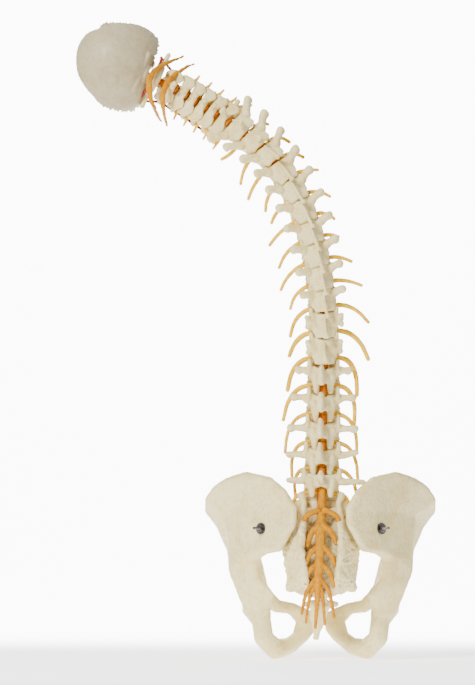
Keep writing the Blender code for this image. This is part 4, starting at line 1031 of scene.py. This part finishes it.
def build_nerves():
    """A pair of nerves to each disc from C3 down, from the cord out through the side gaps."""
    r = NERVE_RADIUS
    thickest = {"t10": 1.75, "t11": 2.1, "t12": 2.1, "l1": 1.9}
    for level, disc, lower in disc_names():
        if level.kind == "axis":
            continue
        bm = bmesh.new()
        wide = thickest.get(level.name, 1.6)
        for side in (1, -1):
            gap = level.back - 3.9
            if level.name in NERVE_TIPS:
                start = [(0, level.back - 7, 0, 2.6), (side * (level.pillar - 4), gap - 0.5, 0, 2.1),
                         (side * (level.pillar + 3), gap + 0.3, -0.5, 2.8)]
                points = [(*(level.gap_frame @ Vector(p[:3])), p[3]) for p in start]
                a = Vector(points[-1][:3])
                x, z = NERVE_TIPS[level.name][0 if side > 0 else 1]
                b = Vector((x, a.y + 3, z))
                outwards = (level.gap_frame.to_3x3() @ Vector((side, 0.1, -0.12))).normalized()
                bend = a + outwards * (b - a).length * 0.5
                for t in (0.25, 0.5, 0.75, 1.0):
                    p = a * (1 - t) ** 2 + bend * 2 * t * (1 - t) + b * t * t
                    points.append((*p, r * (wide - 0.3 * wide * t)))
            else:
                gap = level.back - 2.8
                start = [(0, level.back - 7, 0, 2.6), (side * (level.pillar - 4), gap, 0, 2.0),
                         (side * (level.pillar + 4), gap, 0, 2.4),
                         (side * (level.half_span - 1), gap + 1, -0.5, 1.8),
                         (side * (level.half_span + 5), gap + 2, -1, 1.4)]
                points = [(*(level.gap_frame @ Vector(p[:3])), p[3]) for p in start]
            path = spline(points, 6)
            tail = path[-1].copy()
            ahead = tail[:3] - path[-2][:3]
            ahead /= np.linalg.norm(ahead)
            round_end = []
            for share in (0.5, 0.85, 0.98):
                ring = tail.copy()
                ring[:3] += ahead * tail[3] * share
                ring[3] = tail[3] * math.sqrt(1 - share * share)
                round_end.append(ring)
            append(bm, loft(tube_rings(np.vstack([path, round_end]), 14)))
        nerves = new_piece(f"nerves_{level.name}_{lower}", bm)
        roughen(nerves, 0.25, 5, len(level.name) + int(level.name[1:]))
        dress(nerves, FINE_NERVE, body_of(disc))


# The two broad nerves that wrap the back of the upper neck: across, towards the belly and up from
# the origin, and half the width.
NECK_LOOPS = {
    "neck_nerve_c1_c2": ("vertebra_c1", [
        (-161, 52, 556, 1.2), (-170, 40, 552, 1.8), (-181, 26, 547, 2.4), (-191, 13, 541, 3.0),
        (-198, 5, 534, 3.4), (-201, 2, 527, 3.8), (-201, 1, 518, 3.9), (-200, 3, 508, 3.3),
        (-197, 9, 499, 2.7), (-194, 20, 491, 2.2), (-190, 34, 483, 1.7), (-187, 42, 479, 1.2)]),
    "neck_nerve_c2_c3": ("vertebra_c2", [
        (-149, 56, 547, 1.1), (-156, 46, 544, 1.7), (-165, 32, 538, 2.5), (-173, 18, 531, 3.4),
        (-179, 9, 524, 4.0), (-183.5, 5, 515, 3.5), (-185.5, 4, 506, 3.6), (-185, 9, 496, 2.8),
        (-183.5, 19, 487, 2.2), (-181.5, 30, 478, 1.6), (-180.5, 36, 474, 1.1)]),
}


def build_neck_loops():
    for seed, (name, (node, points)) in enumerate(NECK_LOOPS.items()):
        path = spline(points, 8)
        up = (AXIS.frame.to_3x3() @ Vector((0, 0, 1))).normalized()
        rings = []
        for i, row in enumerate(path):
            ahead = path[min(i + 1, len(path) - 1), :3] - path[max(i - 1, 0), :3]
            out = Vector(ahead).cross(up).normalized()
            wide = Vector(ahead).cross(out).normalized()
            thick = min(row[3], 1.5 + 0.16 * row[3])
            rings.append([Vector(row[:3]) + out * thick * math.cos(2 * math.pi * k / 18)
                          + wide * row[3] * math.sin(2 * math.pi * k / 18) for k in range(18)])
        loop = new_piece(name, loft(rings))
        fuse(loop, 0.55, 3)
        roughen(loop, 0.7, 4.5, seed + 60)
        dress(loop, NERVE, body_of(node))


def build_neck_roots():
    """The swollen nerve roots that show between the neck's laminae."""
    for number, (level, disc, _) in enumerate(disc_names()):
        if level.kind not in ("cervical", "axis") and level.name not in ("t1", "t2"):
            continue
        bm = bmesh.new()
        y = level.lamina_y + 1.2
        wide = 4.2 + (number % 3) * 0.7
        add_hull(bm, [(-wide, y + 1.4, 0.3, 1.7), (0.4, y - 0.4, 0, 2.9), (wide, y + 1.4, -0.3, 1.7),
                      (0, y + 3, 0, 3.0)])
        roots = new_piece(f"neck_roots_{level.name}", bm, level.gap_frame)
        fuse(roots, 0.5, 3)
        roughen(roots, 0.7, 3.0, number + 80)
        dress(roots, CORD, body_of(disc))


# The bundle in the opened sacrum, from the top down.
CAUDA = [
    (2, -20, 49, 4.2), (1.5, -24, 37, 4.8), (0.5, -29, 25, 5.3), (0, -34.5, 15, 5.7),
    (-1, -42, 0, 6.0), (-2, -48.5, -24, 5.8), (-3, -50, -45, 5.4), (-4, -48, -60, 4.6),
    (-4.5, -44, -76, 3.3), (-5.5, -39, -92, 2.7), (-7, -33, -113, 1.9),
]
# Each branch: where it leaves the bundle, where it ends, and its radius at both.
CAUDA_BRANCHES = [
    ((-3, -34, 24), (-21, -36, 12), 3.6, 3.0), ((4, -34, 24), (21, -36, 11), 3.6, 3.0),
    ((-3, -43, 6), (-16, -45, -17), 3.7, 2.9), ((2, -43, 6), (17, -45, -15), 3.7, 2.9),
    ((-4, -48, -18), (-18.5, -49, -40), 3.5, 2.7), ((1, -48, -18), (16, -49, -42), 3.5, 2.7),
    ((-5, -50, -38), (-19, -49, -61), 3.3, 2.5), ((0, -50, -38), (14, -49, -64), 3.3, 2.5),
    ((-5, -49, -52), (-23, -43, -97), 2.7, 1.8), ((-3, -49, -52), (15, -43, -101), 2.7, 1.8),
    ((-5, -47, -58), (-18, -40, -107), 2.5, 1.6), ((-3, -47, -58), (4, -38, -109), 2.5, 1.6),
]


def build_cauda():
    """The bundle of nerves in the opened sacrum, with its side branches."""
    bm = bmesh.new()
    add_tube(bm, [tuple(p) for p in spline(CAUDA, 3)])
    for a, b, r, s in CAUDA_BRANCHES:
        a, b = Vector(a), Vector(b)
        bend = Vector((a.x + (b.x - a.x) * 0.68, (a.y + b.y) / 2 - 1.5, a.z + (b.z - a.z) * 0.42))
        path = spline([(*a, r), (*bend, (r + s) / 2 + 0.3), (*b, s)], 4)
        add_tube(bm, [tuple(p) for p in path])
    cauda = new_piece("cauda_nerves", bm)
    fuse(cauda, 0.6, 3)
    roughen(cauda, 0.4, 3.5, 3)
    dress(cauda, NERVE, body_of("cauda_equina"), "cauda_equina")


# --- skull plate -------------------------------------------------------------------------------
PLATE_OUTLINE = [  # corners: the angle round the plate from the model's right, and the reach
    (5, 48), (22, 46), (39, 48), (50, 43), (68, 47), (110, 47), (150, 47), (170, 49), (191, 56),
    (226, 62), (243, 56), (262, 42), (278, 40), (299, 49), (320, 61), (341, 55)]


def plate_reach(angle):
    """How far the plate reaches at an angle, with a jagged suture on three stretches."""
    degrees = math.degrees(angle) % 360
    marks = [PLATE_OUTLINE[-1]] + PLATE_OUTLINE + [PLATE_OUTLINE[0]]
    angles = [marks[0][0] - 360] + [m[0] for m in marks[1:-1]] + [marks[-1][0] + 360]
    reach = float(np.interp(degrees, angles, [m[1] for m in marks]))
    jag = 0.5
    for start, end, size in ((2, 44, 2.3), (186, 234, 2.0), (296, 330, 2.6)):
        if start < degrees < end:
            jag = size * min(1.0, (degrees - start) / 4, (end - degrees) / 4)
    wave = math.sin(degrees * 1.31) + 0.9 * math.sin(degrees * 2.17 + 1) + 0.5 * math.sin(
        degrees * 0.7 + 2)
    return reach + jag * (wave - 0.6) * 0.62


def build_skull():
    centre = Vector(SKULL_CENTRE)
    sides, steps = 240, 24

    def point(i, share, wall):
        angle = 2 * math.pi * i / sides
        reach = share * plate_reach(angle)
        x, z = reach * math.cos(angle), reach * math.sin(angle)
        inside = 1 - (x / SKULL_RADIUS[0]) ** 2 - (z / SKULL_RADIUS[2]) ** 2
        bulge = Vector((x, -SKULL_RADIUS[1] * math.sqrt(max(inside, 0.01)), z))
        return centre + bulge * (1 - wall / bulge.length)

    rings = []
    for wall, order in ((0.0, range(1, steps + 1)), (SKULL_WALL - 0.6, range(steps, 0, -1))):
        for step in order:
            rings.append([point(i, step / steps, wall) for i in range(sides)])
    bm = loft(rings)
    ring = []
    for i in range(25):
        angle = 2 * math.pi * i / 24
        ring.append((17 * math.cos(angle), -3 + 20 * math.sin(angle), 4 + 2 * math.sin(angle),
                     3.8))
    add_tube(bm, ring)
    add_pair(bm, [(14, 6, -1, 4.0), (16, -3, -1, 4.0), (20, 0, 5, 4.5)])
    add_hull(bm, [(-9, 16, 6, 4), (9, 16, 6, 4), (-6, 27, 12, 4), (6, 27, 12, 4)])
    add_pair(bm, [(18, -2, 8, 4.0), (34, -2, 10, 3.5), (38, 14, 9, 3.5), (24, -20, 9, 3.5)])
    add_hull(bm, [(-14, -20, 3, 3.5), (14, -20, 3, 3.5), (-22, -24, 7, 3.5), (22, -24, 7, 3.5)])
    skull = new_piece("skull_plate", bm, HEAD_FRAME)
    fuse(skull, 0.8, 2)
    inverse = HEAD_FRAME.inverted()
    turned = np.array(inverse.to_3x3()).T
    shift = np.array(inverse.translation)

    def rim(points):
        local = points @ turned + shift
        return np.clip((np.hypot(local[:, 0], local[:, 2] - 40) - 42) / 12, 0, 1)

    roughen(skull, 0.5, 22, 4)
    roughen(skull, 0.55, 2.6, 5, rim, creased=True)
    dress(skull, SHADED_SKULL, body_of("occipital_plate"), "occipital_plate")


# --- pelvis ------------------------------------------------------------------------------------
def bolt_frame():
    return facing(BOLT_SEAT, BOLT_AXIS, (0, 0, 1))


def mirrored(bm):
    bmesh.ops.transform(bm, matrix=Matrix.Scale(-1, 4, (1, 0, 0)), verts=bm.verts)
    bmesh.ops.reverse_faces(bm, faces=bm.faces)
    return bm


def block(low, high):
    bm = bmesh.new()
    size = Vector(high) - Vector(low)
    middle = (Vector(high) + Vector(low)) / 2
    bmesh.ops.create_cube(bm, size=1.0, matrix=Matrix.LocRotScale(middle, None, size))
    return bm


def side_space(outwards):
    """A block on one side of the plane between the sacrum and the right hip bone."""
    place = facing(JOINT_POINT, JOINT_NORMAL, (0, 0, 1))
    if outwards:
        return moved(block((-160, -160, KERF), (160, 160, 90)), place)
    return moved(block((-60, -25, -40), (60, 38, -KERF)), place)


def seat_space():
    shape = [(WASHER_RADIUS + 1.2, -18), (WASHER_RADIUS + 1.2, 0), (BOLT_BORE, 0),
             (BOLT_BORE, BOLT_IN), (NUT_SIZE + 1, BOLT_IN), (NUT_SIZE + 1, BOLT_IN + 12)]
    return moved(loft([oval(r, r, z, 32) for r, z in shape]), bolt_frame())


def build_sacrum():
    bm = bmesh.new()
    for names in SACRUM_HULLS:
        balls = [SACRUM_BALLS[name] for name in names]
        add_hull(bm, balls)
        if any(name.endswith("_side") for name in names):
            flips = [-1 if name.endswith("_side") else 1 for name in names]
            add_hull(bm, [(x * f, y, z, r) for f, (x, y, z, r) in zip(flips, balls)])
    plate = Matrix.Translation(SACRAL_TOP) @ turn(0, SACRAL_PITCH)
    half_width, half_depth = SACRAL_WIDTH / 2, SACRAL_DEPTH / 2
    drum = loft([oval(half_width * k, half_depth * k, z, 40, 0.12)
                 for z, k in ((-17, 0.8), (-6, 0.95), (-1.5, 1.0), (-0.2, 0.98))])
    append(bm, moved(drum, plate))
    add_hull(bm, [(0, -18, 8, 9), (0, -22, -4, 9), (0, -12, 16, 8)])
    add_pair(bm, [(20, -22, 30, 4.0), (24, -19, 41, 4.2), (22, -18, 43, 3.2)])
    add_pair(bm, [(22, -16, 20, 6.0), (33, -8, 26, 6.0), (26, -14, 32, 4.5)])
    add_pair(bm, [(33, -31, -62, 6.5), (30, -34, -50, 5.5), (36, -26, -66, 6.0)])
    add_hull(bm, [(-9, -20, -90, 4.5), (5, -20, -90, 4.5), (-8, -14, -100, 4.5), (2, -14, -100, 4.5)])
    add_hull(bm, [(-9, -13, -102, 4.2), (2, -13, -102, 4.2), (-7, -7, -113, 3.6), (-1, -7, -113, 3.6)])
    add_hull(bm, [(-6, -5, -116, 3.8), (-3, -5, -116, 3.8), (-6, -2, -124, 2.8)])
    add_hull(bm, [(-8, -3, -126, 2.2), (-4, -3, -127, 2.2), (-6, -3, -122, 2.4)])
    sacrum = new_piece("sacrum_bone", bm)
    seat = loft([oval(NUT_RADIUS + 1.2, NUT_RADIUS + 1.2, z, 32) for z in (-20, NUT_HEIGHT + 0.4)])
    cutters = [seat, seat_space(), mirrored(seat_space()), side_space(True),
               mirrored(side_space(True))]
    fuse(sacrum, 0.95, 4, cutters)

    def behind(points):
        return np.clip((8 - points[:, 1] + points[:, 2] * 0.2) / 20, 0, 1) * np.clip(
            (22 - points[:, 2]) / 8, 0, 1)

    roughen(sacrum, 2.3, 7.0, 21, behind, creased=True)
    roughen(sacrum, 0.9, 3.0, 22, behind, creased=True)
    roughen(sacrum, 0.3, 1.8, 23)
    dress(sacrum, BONE, body_of("sacrum"), "sacrum")


def build_hips():
    bm = bmesh.new()
    for names in HIP_HULLS:
        add_hull(bm, [HIP_BALLS[name] for name in names])
    hip = new_piece("hip_right", bm)
    cup = bmesh.new()
    bmesh.ops.create_icosphere(cup, subdivisions=4, radius=ACETABULUM_RADIUS,
                               matrix=Matrix.Translation(ACETABULUM))
    middle = block((-60, -40, -200), (SYMPHYSIS_HALF + 0.5, 200, 200))
    fuse(hip, 1.05, 12, [cup, middle, side_space(False), seat_space()])
    crest = [HIP_BALLS[name][:3] for name in (
        "psis", "crest_back", "crest_a", "crest_top", "crest_b", "crest_c", "crest_d", "asis")]
    crest = spline(crest, 5)

    def crest_weight(points):
        away = np.full(len(points), 99.0)
        for spot in crest:
            away = np.minimum(away, np.linalg.norm(points - spot, axis=1))
        return np.clip(1 - away / 9, 0, 1)

    def rim_weight(points):
        away = np.abs(np.linalg.norm(points - np.array(ACETABULUM), axis=1) - ACETABULUM_RADIUS)
        return np.clip(1 - away / 9, 0, 1) * (points[:, 1] < 50)

    def tuber_weight(points):
        return np.maximum(near(points, HIP_BALLS["tuber_low"][:3], 26),
                          near(points, HIP_BALLS["psis_low"][:3], 22))

    roughen(hip, 0.7, 18, 11)
    roughen(hip, 1.1, 3.4, 12, crest_weight, creased=True)
    roughen(hip, 2.0, 4.0, 13, rim_weight, creased=True)
    roughen(hip, 1.3, 4.0, 14, tuber_weight, creased=True)
    roughen(hip, 0.25, 2.4, 15)
    other = hip.copy()
    other.data = hip.data.copy()
    other.name = "hip_left"
    bpy.context.scene.collection.objects.link(other)
    flipped = bmesh.new()
    flipped.from_mesh(other.data)
    mirrored(flipped)
    flipped.to_mesh(other.data)
    flipped.free()
    dress(hip, BONE, body_of("hip_bone_right"), "hip_bone_right")
    dress(other, BONE, body_of("hip_bone_left"), "hip_bone_left")


def hexagon(radius, z):
    """A ring of points round a hexagon, with the same count on each side."""
    corners = []
    for i in range(7):
        angle = math.pi * i / 3
        corners.append(Vector((radius * math.cos(angle), radius * math.sin(angle), z)))
    return [a.lerp(b, k / HEXAGON_STEPS) for a, b in zip(corners, corners[1:])
            for k in range(HEXAGON_STEPS)]


def thread(radius, low, high, pitch=0.9, sides=24):
    """A screw thread, as a shaft whose radius swells in a helix."""
    rings = []
    steps = int((high - low) / pitch * 8)
    for i in range(steps + 1):
        z = low + (high - low) * i / steps
        ring = []
        for k in range(sides):
            turned = z / pitch + k / sides
            wave = abs((turned % 1) * 2 - 1)
            end = min(1.0, (i + 0.5) / 6, (steps - i + 0.5) / 6)
            r = (radius - 0.42 * wave) * (0.7 + 0.3 * end)
            angle = 2 * math.pi * k / sides
            ring.append(Vector((r * math.cos(angle), r * math.sin(angle), z)))
        rings.append(ring)
    return loft(rings)


def build_bolts():
    for side, node in ((1, "sacroiliac_bolt_right"), (-1, "sacroiliac_bolt_left")):
        bm = thread(BOLT_RADIUS, -BOLT_OUT, BOLT_IN + 5)
        outer_nut = ((0.86, -4.6), (1.0, -4.2), (1.0, -1.9), (0.86, -1.5))
        inner_nut = ((0.86, 0.3), (1.0, 0.7), (1.0, 3.1), (0.86, 3.5))
        append(bm, loft([hexagon(NUT_SIZE * k, z) for k, z in outer_nut]))
        append(bm, loft([hexagon(NUT_SIZE * k, z + BOLT_IN) for k, z in inner_nut]))
        washer = [(BOLT_BORE, -1.5), (WASHER_RADIUS - 0.3, -1.5), (WASHER_RADIUS, -1.25),
                  (WASHER_RADIUS, -0.45), (WASHER_RADIUS - 0.3, -0.2), (BOLT_BORE, -0.2)]
        append(bm, loft([oval(r, r, z, 40) for r, z in washer], closed=True))
        moved(bm, bolt_frame())
        if side < 0:
            mirrored(bm)
        bolt = new_piece(f"bolt_{'right' if side > 0 else 'left'}", bm)
        for polygon in bolt.data.polygons:
            polygon.use_smooth = False
        dress(bolt, STEEL, body_of(node), node)


def build_nut():
    shape = [(NUT_RADIUS - 0.4, 0.0), (NUT_RADIUS, 0.4), (NUT_RADIUS, NUT_HEIGHT - 0.5),
             (NUT_RADIUS - 0.5, NUT_HEIGHT), (ROD_BORE, NUT_HEIGHT), (ROD_BORE, 4)]
    nut = new_piece("core_end_nut", loft([oval(r, r, z, 64) for r, z in shape]))
    dress(nut, STEEL, body_of("core_nut"), "core_nut")
    bevel = nut.modifiers.new("edge", "BEVEL")
    bevel.width = 0.0002
    bevel.segments = 2
    bake(nut)
    nut.data.materials.clear()
    nut.data.materials.append(STEEL)


def build_symphysis():
    bm = bmesh.new()
    add_hull(bm, [(0, 78, -99, 4), (0, 68, -113, 4), (0, 74, -104, 5)])
    pad = new_piece("symphysis_pad", bm)
    right_bone = block((SYMPHYSIS_HALF, 0, -200), (40, 200, 0))
    left_bone = block((-40, 0, -200), (-SYMPHYSIS_HALF, 200, 0))
    fuse(pad, 0.6, 2, [right_bone, left_bone])
    roughen(pad, 0.2, 2.5, 9)
    dress(pad, DISC, body_of("pubic_symphysis_disc"), "pubic_symphysis_disc")


# --- stage -------------------------------------------------------------------------------------
def paper_material():
    """White paper that glows in the stretch behind and below the model, and hardly elsewhere."""
    paper = Shader("paper")
    split = paper.add("ShaderNodeSeparateXYZ")
    paper.link(paper.place, split.inputs["Vector"])
    across = paper.math("ABSOLUTE", paper.math("ADD", split.outputs["X"], GLOW_OFFSET), 0.0)
    beside = paper.ramp(across, 0.45, 0.75, 1.0, 0.0)
    above = paper.ramp(split.outputs["Z"], 0.85, 1.2, 1.0, 0.0)
    lit = paper.math("MULTIPLY", beside, above)
    glow = paper.math("ADD", paper.ramp(split.outputs["Y"], -0.9, -0.6, DIM_GLOW, FLOOR_GLOW),
                      paper.ramp(split.outputs["Y"], 0.25, 0.9, 0.0, WALL_GLOW - FLOOR_GLOW))
    glow = paper.math("MAXIMUM", paper.math("MULTIPLY", glow, lit), DIM_GLOW)
    paper.shader.inputs["Base Color"].default_value = (0.92, 0.92, 0.92, 1.0)
    paper.shader.inputs["Roughness"].default_value = 0.9
    paper.shader.inputs["Specular IOR Level"].default_value = 0.1
    paper.shader.inputs["Emission Color"].default_value = (1.0, 1.0, 1.0, 1.0)
    paper.link(glow, paper.shader.inputs["Emission Strength"])
    return paper.material


def backdrop_profile():
    """The paper's run along Y and Z, in metres: flat, then up a curve, then straight up."""
    profile = [(FLOOR_FRONT, 0), (CURVE_START, 0)]
    for i in range(1, 17):
        angle = math.pi / 2 * i / 16
        profile.append((CURVE_START + CURVE_RADIUS * math.sin(angle),
                        CURVE_RADIUS * (1 - math.cos(angle))))
    profile.append((CURVE_START + CURVE_RADIUS, WALL_TOP))
    return profile


def build_stage():
    low = CAD_LOW.z - FLOOR_GAP
    profile = backdrop_profile()
    bm = bmesh.new()
    columns = [[bm.verts.new((x, y, low + z)) for y, z in profile]
               for x in (-FLOOR_HALF_WIDTH, FLOOR_HALF_WIDTH)]
    for i in range(len(profile) - 1):
        bm.faces.new((columns[0][i], columns[1][i], columns[1][i + 1], columns[0][i + 1]))
    mesh = bpy.data.meshes.new("backdrop")
    bm.to_mesh(mesh)
    bm.free()
    shade_smooth(mesh)
    backdrop = linked(bpy.data.objects.new("backdrop", mesh))
    mesh.materials.append(paper_material())


def add_light(name, place, size, power, aim):
    data = bpy.data.lights.new(name, "AREA")
    data.shape = "SQUARE"
    data.size = size
    data.energy = power
    lamp = bpy.data.objects.new(name, data)
    lamp.location = place
    lamp.rotation_euler = (Vector(aim) - Vector(place)).to_track_quat("-Z", "Y").to_euler()
    linked(lamp)


def build_lights():
    world = bpy.data.worlds.new("studio")
    bpy.context.scene.world = world
    world.use_nodes = True
    world.node_tree.nodes["Background"].inputs["Color"].default_value = (1.0, 1.0, 1.0, 1.0)
    world.node_tree.nodes["Background"].inputs["Strength"].default_value = WORLD_GLOW
    middle = (CAD_LOW + CAD_HIGH) / 2
    for name, place, size, power in LAMPS:
        add_light(name, place, size, power, middle)


def build_camera():
    """A long lens behind the model, level, a little to the left of the pelvis."""
    data = bpy.data.cameras.new("camera")
    data.lens = 36.0 * CAMERA_FAR / FRAME_TALL
    data.sensor_width = 36.0
    data.clip_start, data.clip_end = 0.1, 50.0
    camera = bpy.data.objects.new("camera", data)
    camera.location = (CAMERA_X, -CAMERA_FAR, CAMERA_Z)
    camera.rotation_euler = (math.pi / 2, 0, 0)
    bpy.context.scene.camera = linked(camera)


stack_levels()
AXIS = LEVELS[-1]
ATLAS_FRAME = AXIS.straight @ slide_up(ATLAS_RISE) @ turn(1.0, -3)
HEAD_FRAME = ATLAS_FRAME @ slide_up(HEAD_RISE) @ turn(HEAD_ROLL, HEAD_PITCH)

build_camera()
build_stage()
build_lights()
build_vertebrae()
build_discs()
build_cord()
build_core()
build_nerves()
build_neck_loops()
build_neck_roots()
build_arteries()
build_skull()
build_sacrum()
build_hips()
build_cauda()
build_bolts()
build_nut()
build_symphysis()
